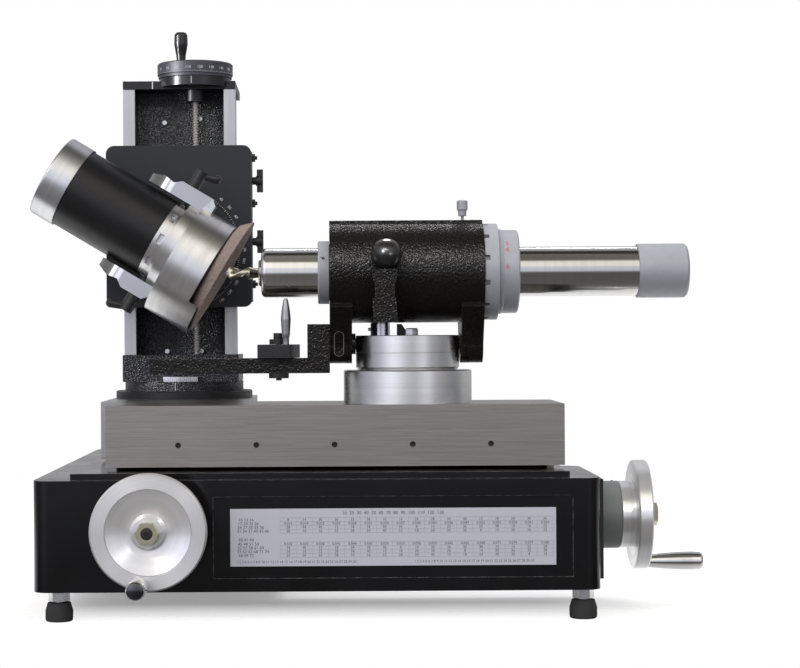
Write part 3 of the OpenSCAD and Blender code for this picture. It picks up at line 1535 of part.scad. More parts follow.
base_casting();
chart_plate();
foot_pads();
foot_studs();
x_way();
y_way();
x_feed_collar();
y_feed_collar();
x_leadscrew();
x_handwheel();
x_wheel_nut();
x_handle();
y_leadscrew();
y_handwheel();
y_wheel_nut();
y_handle();
table();
x_gib();
x_feed_nut();
workhead_base();
swivel_head();
swivel_stops();
workhead_body();
yoke_pivots();
ball_knob();
rest_bar();
front_collar();
index_ring();
number_ring();
spindle_tube();
collet();
end_mill();
spindle_cap();
index_pin();
rest_bolt();
rest_block();
rest_finger();
y_saddle();
y_gib();
y_feed_nut();
column_flange();
column_casting();
column_ways();
column_cap();
z_leadscrew();
z_dial();
z_knob();
z_plate();
z_keepers();
z_lock_upper();
z_lock_lower();
tilt_bracket();
motor_body();
motor_cap();
motor_flange();
motor_shaft();
grinding_wheel();
wheel_guard();
guard_lever_upper();
guard_lever_lower();
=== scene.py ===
"""Looks of a tool and cutter grinder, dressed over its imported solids.

Each sub-assembly of the machine is a class that holds its sizes and dresses its nodes, and adds
the small pieces that show in the photograph: scales, numbers, threads, sockets and screws.
Sizes are in millimetres from the base's left end, its front face and the bench.
"""

import logging  # noqa: E402
import math  # noqa: E402
from dataclasses import dataclass, field  # noqa: E402
from enum import Enum  # noqa: E402
from typing import Callable, Dict, List, Sequence, Tuple  # noqa: E402

import bmesh  # noqa: E402
import bpy  # noqa: E402
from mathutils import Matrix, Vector  # noqa: E402


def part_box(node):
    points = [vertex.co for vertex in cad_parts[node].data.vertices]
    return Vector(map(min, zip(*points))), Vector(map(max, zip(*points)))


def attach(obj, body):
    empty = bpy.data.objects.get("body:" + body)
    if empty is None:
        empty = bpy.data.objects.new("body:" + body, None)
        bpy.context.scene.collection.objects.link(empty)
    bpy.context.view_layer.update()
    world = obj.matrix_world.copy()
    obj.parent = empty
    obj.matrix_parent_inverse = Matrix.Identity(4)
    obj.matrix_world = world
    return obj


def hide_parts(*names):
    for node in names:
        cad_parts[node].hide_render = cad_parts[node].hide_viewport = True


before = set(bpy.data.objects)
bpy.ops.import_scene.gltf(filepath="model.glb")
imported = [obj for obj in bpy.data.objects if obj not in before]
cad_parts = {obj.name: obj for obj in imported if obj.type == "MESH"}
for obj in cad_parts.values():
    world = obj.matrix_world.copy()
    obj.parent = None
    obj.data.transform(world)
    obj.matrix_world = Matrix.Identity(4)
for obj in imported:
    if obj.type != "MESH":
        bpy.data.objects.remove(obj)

MM = 0.001
WELD_GAP = 0.002 * MM
Point = Tuple[float, float, float]
Pair = Tuple[float, float]
Colour = Tuple[float, float, float]
Bands = Tuple[Tuple[float, Colour], ...]
Socket = bpy.types.NodeSocket

log = logging.getLogger("grinder")
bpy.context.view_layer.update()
BASE_CORNER = Vector(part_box("base_casting")[0])
BASE_OVERHANG = 4.5
RIGHT = Vector((1.0, 0.0, 0.0))
BACK = Vector((0.0, 1.0, 0.0))
UP = Vector((0.0, 0.0, 1.0))


def place(x: float, y: float, z: float) -> Vector:
    """Turns a place on the machine, in millimetres, into the frame's metres.

    Args:
        x: Distance from the base's left end.
        y: Distance behind the base's front face.
        z: Height above the bench.

    Returns:
        The point in the frame.
    """
    return Vector((BASE_CORNER.x + (x + BASE_OVERHANG) * MM, BASE_CORNER.y + y * MM, z * MM))


def even(value: float) -> Point:
    """Gives a grey, or a stretch that is the same each way."""
    return (value, value, value)


class Effect(Enum):
    """Surface effects that several finishes share, one node group each."""

    TURNING = "turning_marks"
    BRUSHING = "brush_strokes"
    HAMMERING = "hammered_paint"
    HANDLING = "handling_marks"
    CORNERS = "rounded_corners"


class Axis(Enum):
    """Directions that grooves run in or that a round part is turned about."""

    X = (1.0, 0.0, 0.0)
    Y = (0.0, 1.0, 0.0)
    Z = (0.0, 0.0, 1.0)


@dataclass
class Wiring:
    """A node tree with short calls for adding and joining its nodes."""

    tree: bpy.types.NodeTree

    def add(self, kind: str, **settings: object) -> bpy.types.Node:
        """Adds a node and sets its properties and inputs.

        Args:
            kind: The node's type name.
            settings: Values by name, where the name of an input takes a value or a socket.

        Returns:
            The new node.
        """
        node = self.tree.nodes.new(kind)
        for name, value in settings.items():
            if hasattr(node, name):
                setattr(node, name, value)
            else:
                self.join(value, node.inputs[name])
        return node

    def join(self, value: object, target: Socket) -> None:
        """Links a socket to an input, or sets the input to a number, a vector or a colour."""
        if isinstance(value, Socket):
            self.tree.links.new(value, target)
        elif target.type == "RGBA":
            target.default_value = (*value, 1.0)
        else:
            target.default_value = value

    def over(self, kind: str, values: Sequence[object], **settings: object) -> bpy.types.Node:
        """Adds a node over values and sockets.

        Args:
            kind: The node's type name.
            values: What its first inputs take, in order, with None for an input that isn't used.
            settings: Its other values by name.

        Returns:
            The new node.
        """
        node = self.add(kind, **settings)
        for target, value in zip(node.inputs, values):
            if value is not None:
                self.join(value, target)
        return node

    def maths(self, operation: str, *values: object) -> Socket:
        """Adds a maths node over numbers and sockets and returns its result."""
        return self.over("ShaderNodeMath", values, operation=operation).outputs[0]

    def vector(self, operation: str, *values: object) -> Socket:
        """Adds a vector maths node over vectors and sockets and returns its result."""
        node = self.over("ShaderNodeVectorMath", values, operation=operation)
        return node.outputs["Value" if operation in ("DOT_PRODUCT", "LENGTH") else "Vector"]

    def scaled(self, value: Socket, factor: float) -> Socket:
        """Makes a vector or a colour longer or brighter by a factor."""
        return self.vector("SCALE", value, None, None, factor)

    def spread(
        self, value: Socket, low: float, high: float, out_low: float, out_high: float, kind: str = "LINEAR"
    ) -> Socket:
        """Maps a value from one range to another, clamped.

        Args:
            value: The value to map.
            low: Start of the range that it comes in.
            high: End of the range that it comes in.
            out_low: What the start becomes.
            out_high: What the end becomes.
            kind: How it runs between them.

        Returns:
            The mapped value's socket.
        """
        values = (value, low, high, out_low, out_high)
        return self.over("ShaderNodeMapRange", values, interpolation_type=kind).outputs[0]

    def mask(self, value: Socket, low: float, high: float) -> Socket:
        """Gives 0 where a value is at the first bound, and 1 where it is at the second."""
        return self.spread(value, low, high, 0.0, 1.0)

    def blend(self, mask: object, first: object, second: object, share: float = 1.0) -> Socket:
        """Mixes two colours by a mask.

        Args:
            mask: Where the second colour shows, a number or a socket.
            first: Colour or socket that shows where the mask is 0.
            second: Colour or socket that shows where the mask is 1.
            share: The most of the second colour that shows.

        Returns:
            The mixed colour's socket.
        """
        held = self.maths("MULTIPLY", mask, share) if share < 1.0 else mask
        node = self.add("ShaderNodeMix", data_type="RGBA")
        for index, value in ((0, held), (6, first), (7, second)):
            self.join(value, node.inputs[index])
        return node.outputs[2]

    def spot(self) -> Socket:
        """Gives the place on the piece, in metres."""
        return self.add("ShaderNodeTexCoord").outputs["Object"]

    def noise(self, where: Socket, **settings: object) -> Socket:
        """Adds a noise texture over a place and returns its value."""
        return self.add("ShaderNodeTexNoise", Vector=where, **settings).outputs[0]

    def numbers(self, value: Socket) -> bpy.types.NodeOutputs:
        """Takes a vector or a colour apart into its three numbers."""
        return self.add("ShaderNodeSeparateXYZ", Vector=value).outputs


@dataclass
class EffectLibrary:
    """Builds each shared effect once, as a node group with named sockets."""

    groups: Dict[Effect, bpy.types.NodeTree] = field(default_factory=dict)

    def get(self, effect: Effect) -> bpy.types.NodeTree:
        """Gives the node group of an effect, and builds it at its first use."""
        if effect not in self.groups:
            makers: Dict[Effect, Callable[[], bpy.types.NodeTree]] = {
                Effect.TURNING: self._turning,
                Effect.BRUSHING: self._brushing,
                Effect.HAMMERING: self._hammering,
                Effect.HANDLING: self._handling,
                Effect.CORNERS: self._corners,
            }
            self.groups[effect] = makers[effect]()
        return self.groups[effect]

    def _new(
        self, effect: Effect, inputs: Sequence[Tuple[str, str, object]], *outputs: str
    ) -> Tuple[Wiring, bpy.types.NodeOutputs, bpy.types.NodeInputs]:
        """Starts a node group.

        Args:
            effect: The effect that the group is for.
            inputs: Name, kind and starting value of each input.
            outputs: Name of each output, which is a number.

        Returns:
            The group's wiring, what it is given and what it gives.
        """
        tree = bpy.data.node_groups.new(effect.value, "ShaderNodeTree")
        for name, kind, value in inputs:
            socket = tree.interface.new_socket(name=name, in_out="INPUT", socket_type=f"NodeSocket{kind}")
            socket.default_value = value
        for name in outputs:
            tree.interface.new_socket(name=name, in_out="OUTPUT", socket_type="NodeSocketFloat")
        wiring = Wiring(tree)
        return wiring, wiring.add("NodeGroupInput").outputs, wiring.add("NodeGroupOutput").inputs

    def _turning(self) -> bpy.types.NodeTree:
        """Fine grooves that run round an axis, as a lathe leaves them."""
        inputs = [
            ("Centre", "Vector", even(0.0)),
            ("Axis", "Vector", Axis.Z.value),
            ("Fineness", "Float", 3000.0),
        ]
        w, given, out = self._new(Effect.TURNING, inputs, "Height", "Shade")
        arm = w.vector("SUBTRACT", w.spot(), given["Centre"])
        radius = w.vector("LENGTH", w.vector("CROSS_PRODUCT", arm, given["Axis"]))
        across = w.maths("MULTIPLY", radius, given["Fineness"])
        along = w.maths("MULTIPLY", w.vector("DOT_PRODUCT", arm, given["Axis"]), given["Fineness"])
        flat = w.add("ShaderNodeCombineXYZ", X=across, Y=along).outputs[0]
        fine = w.noise(flat, noise_dimensions="2D", Scale=1.0, Detail=3.0, Roughness=0.7)
        broad = w.noise(flat, noise_dimensions="2D", Scale=0.06, Detail=2.0, Roughness=0.5)
        w.join(fine, out["Height"])
        shade = w.maths("ADD", w.maths("MULTIPLY", fine, 0.5), w.maths("MULTIPLY", broad, 0.5))
        w.join(shade, out["Shade"])
        return w.tree

    def _brushing(self) -> bpy.types.NodeTree:
        """Long straight scratches of a ground or brushed face."""
        inputs = [("Stretch", "Vector", (20.0, 1500.0, 1500.0))]
        w, given, out = self._new(Effect.BRUSHING, inputs, "Height", "Shade")
        drawn = w.vector("MULTIPLY", w.spot(), given["Stretch"])
        fine = w.noise(drawn, Scale=1.0, Detail=4.0, Roughness=0.65)
        broad = w.noise(drawn, Scale=0.4, Detail=3.0, Roughness=0.6)
        w.join(fine, out["Height"])
        shade = w.maths("ADD", w.maths("MULTIPLY", fine, 0.45), w.maths("MULTIPLY", broad, 0.55))
        w.join(shade, out["Shade"])
        return w.tree

    def _hammering(self) -> bpy.types.NodeTree:
        """Small round pits and pale flecks of a hammered paint."""
        w, given, out = self._new(Effect.HAMMERING, [("Scale", "Float", 420.0)], "Height", "Fleck")
        spot = w.spot()
        wander = w.add("ShaderNodeTexNoise", Vector=spot, Scale=180.0, Detail=2.0).outputs["Color"]
        moved = w.vector("ADD", spot, w.scaled(wander, 0.003))
        cells = w.add(
            "ShaderNodeTexVoronoi", feature="SMOOTH_F1", Vector=moved, Scale=given["Scale"], Smoothness=0.35
        )
        grain = w.noise(moved, Scale=w.maths("MULTIPLY", given["Scale"], 2.4), Detail=3.0, Roughness=0.6)
        pits = w.mask(cells.outputs["Distance"], 0.05, 0.65)
        w.join(w.maths("ADD", pits, w.maths("MULTIPLY", grain, 0.35)), out["Height"])
        w.join(w.mask(grain, 0.52, 0.72), out["Fleck"])
        return w.tree

    def _handling(self) -> bpy.types.NodeTree:
        """Cloudy smears, and dust that lies on faces turned upwards."""
        w, given, out = self._new(Effect.HANDLING, [("Scale", "Float", 14.0)], "Smear", "Dust")
        coord = w.add("ShaderNodeTexCoord").outputs
        cloud = w.noise(coord["Object"], Scale=given["Scale"], Detail=5.0, Roughness=0.6, Distortion=0.6)
        specks = w.noise(coord["Object"], Scale=900.0, Detail=2.0, Roughness=0.5)
        w.join(w.mask(cloud, 0.38, 0.72), out["Smear"])
        upwards = w.mask(w.numbers(coord["Normal"])[2], 0.6, 1.0)
        lying = w.maths("MULTIPLY", upwards, cloud)
        w.join(w.maths("MULTIPLY", lying, w.mask(specks, 0.5, 0.7)), out["Dust"])
        return w.tree

    def _corners(self) -> bpy.types.NodeTree:
        """Mask of the edges, where paint is worn and a painted edge highlight is laid, found by rounding the
        corners of the surface.
        """
        w, given, out = self._new(Effect.CORNERS, [("Radius", "Float", 0.001)], "Edge")
        rounded = w.add("ShaderNodeBevel", samples=4, Radius=given["Radius"]).outputs[0]
        real = w.add("ShaderNodeNewGeometry").outputs["Normal"]
        edge = w.mask(w.vector("DOT_PRODUCT", rounded, real), 0.995, 0.9)
        breakup = w.noise(w.spot(), Scale=160.0, Detail=4.0, Roughness=0.7)
        w.join(w.maths("MULTIPLY", edge, w.spread(breakup, 0.42, 0.62, 0.15, 1.0)), out["Edge"])
        return w.tree


EFFECTS = EffectLibrary()


@dataclass(frozen=True)
class Finish:
    """A surface: its colour, its gloss, and whether it is bare metal."""

    name: str
    colour: Colour
    roughness: float = 0.4
    metallic: float = 0.0
    anisotropy: float = 0.0
    sheen_level: float = 0.5

    def material(self) -> bpy.types.Material:
        """Gives this finish's material, and makes it at its first use."""
        found = bpy.data.materials.get(self.name)
        if found is not None:
            return found
        made = bpy.data.materials.new(self.name)
        made.use_nodes = True
        made.diffuse_color = (*self.colour, 1.0)
        w = Wiring(made.node_tree)
        shader = made.node_tree.nodes["Principled BSDF"]
        constants = {
            "Base Color": self.colour,
            "Roughness": self.roughness,
            "Metallic": self.metallic,
            "Anisotropic": self.anisotropy,
            "Specular IOR Level": self.sheen_level,
        }
        for name, value in constants.items():
            w.join(value, shader.inputs[name])
        self.surface(w, shader)
        return made

    def surface(self, w: Wiring, shader: bpy.types.Node) -> None:
        """Adds the marks of this finish; each kind of finish has its own."""
        raise NotImplementedError

    def effect(self, w: Wiring, effect: Effect, **values: object) -> bpy.types.NodeOutputs:
        """Places a shared effect in the material.

        Args:
            w: The material's wiring.
            effect: Which effect.
            values: Its inputs by name.

        Returns:
            What the effect gives.
        """
        return w.add("ShaderNodeGroup", node_tree=EFFECTS.get(effect), **values).outputs

    def smudge(self, w: Wiring, shader: bpy.types.Node, gloss: object, smear: Socket, share: float) -> None:
        """Sets how rough the surface is, and makes it duller where it is smeared.

        Args:
            w: The material's wiring.
            shader: The material's shader.
            gloss: The clean surface's roughness, a number or a socket.
            smear: Where the surface is smeared.
            share: How much rougher a full smear is.
        """
        w.join(w.maths("ADD", gloss, w.maths("MULTIPLY", smear, share)), shader.inputs["Roughness"])

    def relief(
        self, w: Wiring, shader: bpy.types.Node, height: Socket, depth: float, strength: float = 1.0
    ) -> None:
        """Raises the surface by a height.

        Args:
            w: The material's wiring.
            shader: The material's shader.
            height: Where the surface is high.
            depth: How high, in metres.
            strength: Share of the full effect.
        """
        bump = w.add("ShaderNodeBump", Strength=strength, Distance=depth, Height=height)
        w.join(bump.outputs[0], shader.inputs["Normal"])

    def lay(self, w: Wiring, shader: bpy.types.Node, tangent: Socket) -> None:
        """Stretches the sheen across the direction that the grooves run in."""
        w.join(0.25, shader.inputs["Anisotropic Rotation"])
        w.join(tangent, shader.inputs["Tangent"])

    def tone(self, factor: float) -> Colour:
        """Gives this finish's colour made lighter or darker."""
        return tuple(min(1.0, c * factor) for c in self.colour)


@dataclass(frozen=True)
class Turned(Finish):
    """Bare metal off a lathe, with grooves that run round an axis."""

    metallic: float = 1.0
    centre: Point = even(0.0)
    axis: Point = Axis.Z.value
    fineness: float = 2600.0
    groove: float = 0.00001
    contrast: float = 0.12

    def surface(self, w: Wiring, shader: bpy.types.Node) -> None:
        """Adds turning marks, faint smears and a radial sheen."""
        marks = self.effect(w, Effect.TURNING, Centre=self.centre, Axis=self.axis, Fineness=self.fineness)
        smear = self.effect(w, Effect.HANDLING, Scale=18.0)["Smear"]
        dark, light = self.tone(1.0 - self.contrast), self.tone(1.0 + self.contrast * 0.5)
        w.join(w.blend(w.mask(marks["Shade"], 0.35, 0.65), dark, light), shader.inputs["Base Color"])
        gloss = w.spread(marks["Shade"], 0.3, 0.7, self.roughness * 1.12, self.roughness * 0.9)
        self.smudge(w, shader, gloss, smear, 0.03)
        self.relief(w, shader, marks["Height"], self.groove, 0.6)
        arm = w.vector("SUBTRACT", w.spot(), self.centre)
        self.lay(w, shader, w.vector("CROSS_PRODUCT", self.axis, arm))


@dataclass(frozen=True)
class Brushed(Finish):
    """Bare metal ground or brushed in one direction."""

    metallic: float = 1.0
    stretch: Point = (12.0, 1500.0, 1500.0)
    scratch: float = 0.00002
    contrast: float = 0.12
    grooves: Point = Axis.X.value

    def surface(self, w: Wiring, shader: bpy.types.Node) -> None:
        """Adds long scratches, smears, and brighter corners that are partly worn metal and partly a painted
        edge highlight.
        """
        strokes = self.effect(w, Effect.BRUSHING, Stretch=self.stretch)
        smear = self.effect(w, Effect.HANDLING, Scale=9.0)["Smear"]
        edge = self.effect(w, Effect.CORNERS, Radius=0.0006)["Edge"]
        dark, light = self.tone(1.0 - self.contrast), self.tone(1.0 + self.contrast * 0.6)
        metal = w.blend(w.mask(strokes["Shade"], 0.3, 0.7), dark, light)
        stained = w.blend(smear, metal, self.tone(0.8), share=0.16)
        # Painted highlight: the corners are made brighter, partly as worn metal, partly as the light that a
        # rounded edge would catch.
        w.join(w.blend(edge, stained, self.tone(1.35), share=0.6), shader.inputs["Base Color"])
        gloss = w.spread(strokes["Shade"], 0.3, 0.7, self.roughness * 1.15, self.roughness * 0.85)
        self.smudge(w, shader, gloss, smear, 0.06)
        self.relief(w, shader, strokes["Height"], self.scratch, 0.6)
        if self.anisotropy > 0.0:
            way = w.add("ShaderNodeCombineXYZ", **dict(zip("XYZ", self.grooves)))
            self.lay(w, shader, way.outputs[0])


@dataclass(frozen=True)
class Milled(Brushed):
    """Bare metal with facets milled across a bar that lies along a direction, with painted shade on the end
    facet and a painted highlight on the first ridge.
    """

    centre: Point = even(0.0)
    along: Point = Axis.X.value
    facets: Tuple[Pair, ...] = ()
    # Distances before the second facet where the painted highlight starts to rise, is full and starts to
    # fade.
    ridge: Point = (6.0, 4.5, 3.0)

    def surface(self, w: Wiring, shader: bpy.types.Node) -> None:
        """Adds the marks of brushed metal, slopes the surface at each facet, paints shade on the end facet
        and paints a highlight on the first ridge.
        """
        super().surface(w, shader)
        arm = w.vector("SUBTRACT", w.spot(), self.centre)
        reach = w.vector("DOT_PRODUCT", arm, self.along)
        height: object = 0.0
        for (low, start), (high, end) in zip(self.facets, self.facets[1:]):
            step = w.spread(reach, low * MM, high * MM, 0.0, (end - start) * MM, "SMOOTHSTEP")
            height = w.maths("ADD", height, step)
        self.relief(w, shader, height, 1.0)
        # Painted shade and highlight: the end facet is painted dark, and a band just before the second facet
        # is painted bright.
        low, high = (edge * MM for edge, _ in self.facets[:2])
        rise, full, fade = (high - before * MM for before in self.ridge)
        lit = w.maths("MULTIPLY", w.mask(reach, rise, full), w.spread(reach, fade, high, 1.0, 0.0))
        plain = shader.inputs["Base Color"].links[0].from_socket
        dark = w.blend(w.mask(reach, low, high), self.tone(0.22), self.tone(0.34))
        with_painted_facet_shade = w.blend(w.spread(reach, rise, full, 1.0, 0.0), plain, dark)
        w.join(w.blend(lit, with_painted_facet_shade, self.tone(1.6)), shader.inputs["Base Color"])


@dataclass(frozen=True)
class Enamel(Finish):
    """Smooth sprayed paint with a slight ripple, dust, and paler corners that are partly worn paint and
    partly a painted highlight.
    """

    ripple: float = 0.00003
    dust: float = 0.12
    # How much of the edge colour shows at the corners: worn paint and a painted edge highlight.
    rubbed: float = 0.25
    # Colour at the corners: bare metal where the paint is worn, and a painted edge highlight.
    bare: Colour = (0.32, 0.32, 0.33)
    dust_colour: Colour = (0.42, 0.4, 0.37)

    def surface(self, w: Wiring, shader: bpy.types.Node) -> None:
        """Adds the ripple, smears, dust, and the paler corners, which are partly wear and partly a painted
        edge highlight.
        """
        handled = self.effect(w, Effect.HANDLING, Scale=11.0)
        edge = self.effect(w, Effect.CORNERS, Radius=0.0008)["Edge"]
        peel = w.noise(w.spot(), Scale=520.0, Detail=2.0, Roughness=0.5)
        dusty = w.blend(handled["Dust"], self.colour, self.dust_colour, share=self.dust)
        # Painted highlight: the corners take a paler colour, partly as worn paint, partly as the light that a
        # rounded edge would catch.
        w.join(w.blend(edge, dusty, self.bare, share=self.rubbed), shader.inputs["Base Color"])
        settled = w.maths("ADD", w.maths("MULTIPLY", handled["Dust"], 0.3), self.roughness)
        self.smudge(w, shader, settled, handled["Smear"], 0.1)
        self.relief(w, shader, peel, self.ripple, 0.5)


@dataclass(frozen=True)
class TwoTone(Enamel):
    """Sprayed paint that changes colour where a part passes a flat line."""

    second: Colour = (0.02, 0.02, 0.02)
    facing: Point = Axis.X.value
    line: float = 0.0

    def surface(self, w: Wiring, shader: bpy.types.Node) -> None:
        """Adds the marks of sprayed paint, and its second colour before the line."""
        super().surface(w, shader)
        reach = w.vector("DOT_PRODUCT", w.spot(), self.facing)
        before = w.maths("LESS_THAN", reach, self.line)
        first = shader.inputs["Base Color"].links[0].from_socket
        w.join(w.blend(before, first, self.second), shader.inputs["Base Color"])


@dataclass(frozen=True)
class Hammered(Finish):
    """Thick hammered paint over a casting, with pale flecks."""

    scale: float = 420.0
    pit: float = 0.0005
    fleck: Colour = (0.12, 0.12, 0.13)
    # Colour at the corners: bare metal where the paint is worn, and a painted edge highlight.
    bare: Colour = (0.3, 0.29, 0.28)
    dust_colour: Colour = (0.4, 0.38, 0.35)

    def surface(self, w: Wiring, shader: bpy.types.Node) -> None:
        """Adds the pits and flecks, dust, and paler corners that are partly worn paint and partly a painted
        edge highlight.
        """
        paint = self.effect(w, Effect.HAMMERING, Scale=self.scale)
        handled = self.effect(w, Effect.HANDLING, Scale=10.0)
        edge = self.effect(w, Effect.CORNERS, Radius=0.0009)["Edge"]
        flecked = w.blend(paint["Fleck"], self.colour, self.fleck, share=0.55)
        dusty = w.blend(handled["Dust"], flecked, self.dust_colour, share=0.15)
        # Painted highlight: the corners take a paler colour, partly as worn paint, partly as the light that a
        # rounded edge would catch.
        w.join(w.blend(edge, dusty, self.bare, share=0.22), shader.inputs["Base Color"])
        gloss = w.spread(paint["Height"], 0.0, 1.2, self.roughness * 0.75, self.roughness * 1.3)
        self.smudge(w, shader, gloss, handled["Smear"], 0.05)
        self.relief(w, shader, paint["Height"], self.pit, 0.55)


@dataclass(frozen=True)
class Moulded(Finish):
    """Moulded plastic or rubber with a fine skin and a few scuffs."""

    grain: float = 900.0
    skin: float = 0.00003
    scuff: Colour = even(0.1)

    def surface(self, w: Wiring, shader: bpy.types.Node) -> None:
        """Adds the skin's grain and the scuffs."""
        smear = self.effect(w, Effect.HANDLING, Scale=30.0)["Smear"]
        skin = w.noise(w.spot(), Scale=self.grain, Detail=3.0, Roughness=0.6)
        scuffed = w.maths("MULTIPLY", w.mask(skin, 0.5, 0.75), smear)
        w.join(w.blend(scuffed, self.colour, self.scuff, share=0.5), shader.inputs["Base Color"])
        self.smudge(w, shader, self.roughness, smear, 0.12)
        self.relief(w, shader, skin, self.skin, 0.5)


@dataclass(frozen=True)
class Grit(Finish):
    """Abrasive of a grinding wheel: grains of a few tones in an open bond."""

    grain: float = 1500.0
    dark: Colour = (0.12, 0.09, 0.08)
    pale: Colour = (0.52, 0.42, 0.39)

    def surface(self, w: Wiring, shader: bpy.types.Node) -> None:
        """Adds the grains and their pores."""
        spot = w.spot()
        cells = w.add("ShaderNodeTexVoronoi", Vector=spot, Scale=self.grain).outputs
        cloud = w.noise(spot, Scale=60.0, Detail=4.0)
        tone = w.numbers(cells["Color"])
        body = w.blend(tone[0], self.colour, self.pale, share=0.45)
        pored = w.blend(w.spread(tone[1], 0.8, 1.0, 0.0, 0.5), body, self.dark)
        w.join(w.blend(w.spread(cloud, 0.35, 0.7, 0.0, 0.3), pored, self.dark), shader.inputs["Base Color"])
        gloss = w.spread(tone[2], 0.0, 1.0, self.roughness - 0.15, self.roughness)
        w.join(gloss, shader.inputs["Roughness"])
        self.relief(w, shader, cells["Distance"], 0.0003, 0.6)


@dataclass(frozen=True)
class Printed(Finish):
    """A printed face or ink: nearly even, with a faint mottle."""

    mottle: float = 0.05

    def surface(self, w: Wiring, shader: bpy.types.Node) -> None:
        """Adds the mottle and light smears."""
        smear = self.effect(w, Effect.HANDLING, Scale=20.0)["Smear"]
        grain = w.noise(w.spot(), Scale=1400.0, Detail=2.0)
        worn = w.maths("ADD", smear, grain)
        w.join(w.blend(worn, self.colour, self.tone(0.5), share=self.mottle), shader.inputs["Base Color"])
        self.smudge(w, shader, self.roughness, smear, 0.1)


# The base's corners are painted paler, partly as wear and partly as a painted highlight along the edges, such
# as the lit edge of the plate's recess.
BLACK_ENAMEL = Enamel(
    "black_enamel", (0.004, 0.004, 0.0045), roughness=0.13, sheen_level=0.3, dust=0.1, rubbed=0.45
)
BLACK_MACHINED = Enamel(
    "black_machined", (0.01, 0.01, 0.011), roughness=0.34, sheen_level=0.35, rubbed=0.35, ripple=0.0001
)
CHARCOAL = Enamel("charcoal_enamel", (0.018, 0.02, 0.025), roughness=0.45, sheen_level=0.35, dust=0.05)
DIAL_ENAMEL = Enamel(
    "dial_enamel", (0.075, 0.078, 0.1), roughness=0.3, metallic=0.75, dust=0.03, rubbed=0.3
)
MOTOR_ENAMEL = Enamel("motor_enamel", (0.005, 0.005, 0.006), roughness=0.33, sheen_level=0.4, dust=0.04)
BLACK_CHROME = Enamel(
    "black_chrome", (0.006, 0.006, 0.008), roughness=0.2, dust=0.03, rubbed=0.2, ripple=0.00002
)
HAMMER_BLACK = Hammered(
    "hammered_black", (0.005, 0.0042, 0.0036), roughness=0.19, sheen_level=0.2, pit=0.0007,
    fleck=(0.03, 0.026, 0.024),
)
HAMMER_BLUE = Hammered(
    "hammered_column", (0.006, 0.006, 0.008), roughness=0.22, sheen_level=0.25, pit=0.001, scale=560.0,
    fleck=(0.2, 0.2, 0.28),
)
GROUND_TABLE = Brushed(
    "ground_table", (0.36, 0.345, 0.32), roughness=0.3, anisotropy=0.5, stretch=(34.0, 1500.0, 1500.0),
    contrast=0.26,
)
GROUND_WAYS = Brushed("ground_ways", even(0.42), roughness=0.3, stretch=(700.0, 12.0, 700.0))
COLUMN_RAILS = Brushed(
    "ground_rails", (0.56, 0.565, 0.58), roughness=0.36, stretch=(1400.0, 1400.0, 25.0)
)
BLACKED_STEEL = Brushed("blacked_steel", (0.05, 0.05, 0.051), roughness=0.45, metallic=0.85, contrast=0.25)
BRIGHT_ZINC = Brushed("bright_zinc", (0.62, 0.62, 0.64), roughness=0.24, stretch=even(300.0))
YELLOW_ZINC = Brushed("yellow_zinc", (0.56, 0.52, 0.38), roughness=0.26, stretch=even(300.0))
MIRROR_CHROME = Brushed("mirror_chrome", even(0.66), roughness=0.08, stretch=even(40.0), contrast=0.04)
SATIN_RING = Brushed(
    "satin_ring", (0.36, 0.37, 0.41), roughness=0.5, metallic=0.3, stretch=even(200.0), contrast=0.06
)
GUNMETAL = Brushed("gunmetal", (0.09, 0.09, 0.1), roughness=0.2, stretch=even(300.0))
BRONZE = Brushed("machined_bronze", (0.5, 0.33, 0.15), roughness=0.35)
CUTTER_STEEL = Brushed("cutter_steel", (0.55, 0.51, 0.42), roughness=0.2, stretch=even(500.0))
THREAD_STEEL = Brushed(
    "thread_steel", (0.42, 0.4, 0.36), roughness=0.34, metallic=0.25, stretch=even(400.0)
)
RUBBER = Moulded("foot_rubber", even(0.004), roughness=0.25, sheen_level=0.3)
BLACK_PLASTIC = Moulded(
    "black_plastic", (0.003, 0.003, 0.0035), roughness=0.07, sheen_level=0.12, skin=0.00001
)
LEVER_PLASTIC = Moulded("lever_plastic", (0.011, 0.011, 0.012), roughness=0.34, skin=0.0001)
PINK_GRIT = Grit("pink_abrasive", (0.125, 0.093, 0.082), roughness=0.9)
PLATE_FACE = Printed("chart_face", (0.47, 0.475, 0.54), roughness=0.4)
PRINT_BLACK = Printed("print_black", (0.006, 0.006, 0.008), roughness=0.5)
PRINT_WHITE = Printed("print_white", (0.62, 0.62, 0.64), roughness=0.5)
PRINT_GREY = Printed("print_grey", (0.12, 0.12, 0.14), roughness=0.5)
PRINT_RED = Printed("print_red", (0.55, 0.03, 0.06), roughness=0.5)
# Painted shade of a socket's hole.
SOCKET_DARK = Printed("socket_shade", even(0.006), roughness=0.7)


def turned(
    name: str, centre: Vector, axis: Vector, colour: Colour, roughness: float, **more: float
) -> Turned:
    """Gives a turned finish about a part's own axis.

    Args:
        name: The material's name.
        centre: A point on the axis.
        axis: The axis.
        colour: The metal's colour.
        roughness: The metal's roughness.
        more: Other values of the finish.

    Returns:
        The finish.
    """
    return Turned(name, colour, roughness, centre=tuple(centre), axis=tuple(axis.normalized()), **more)


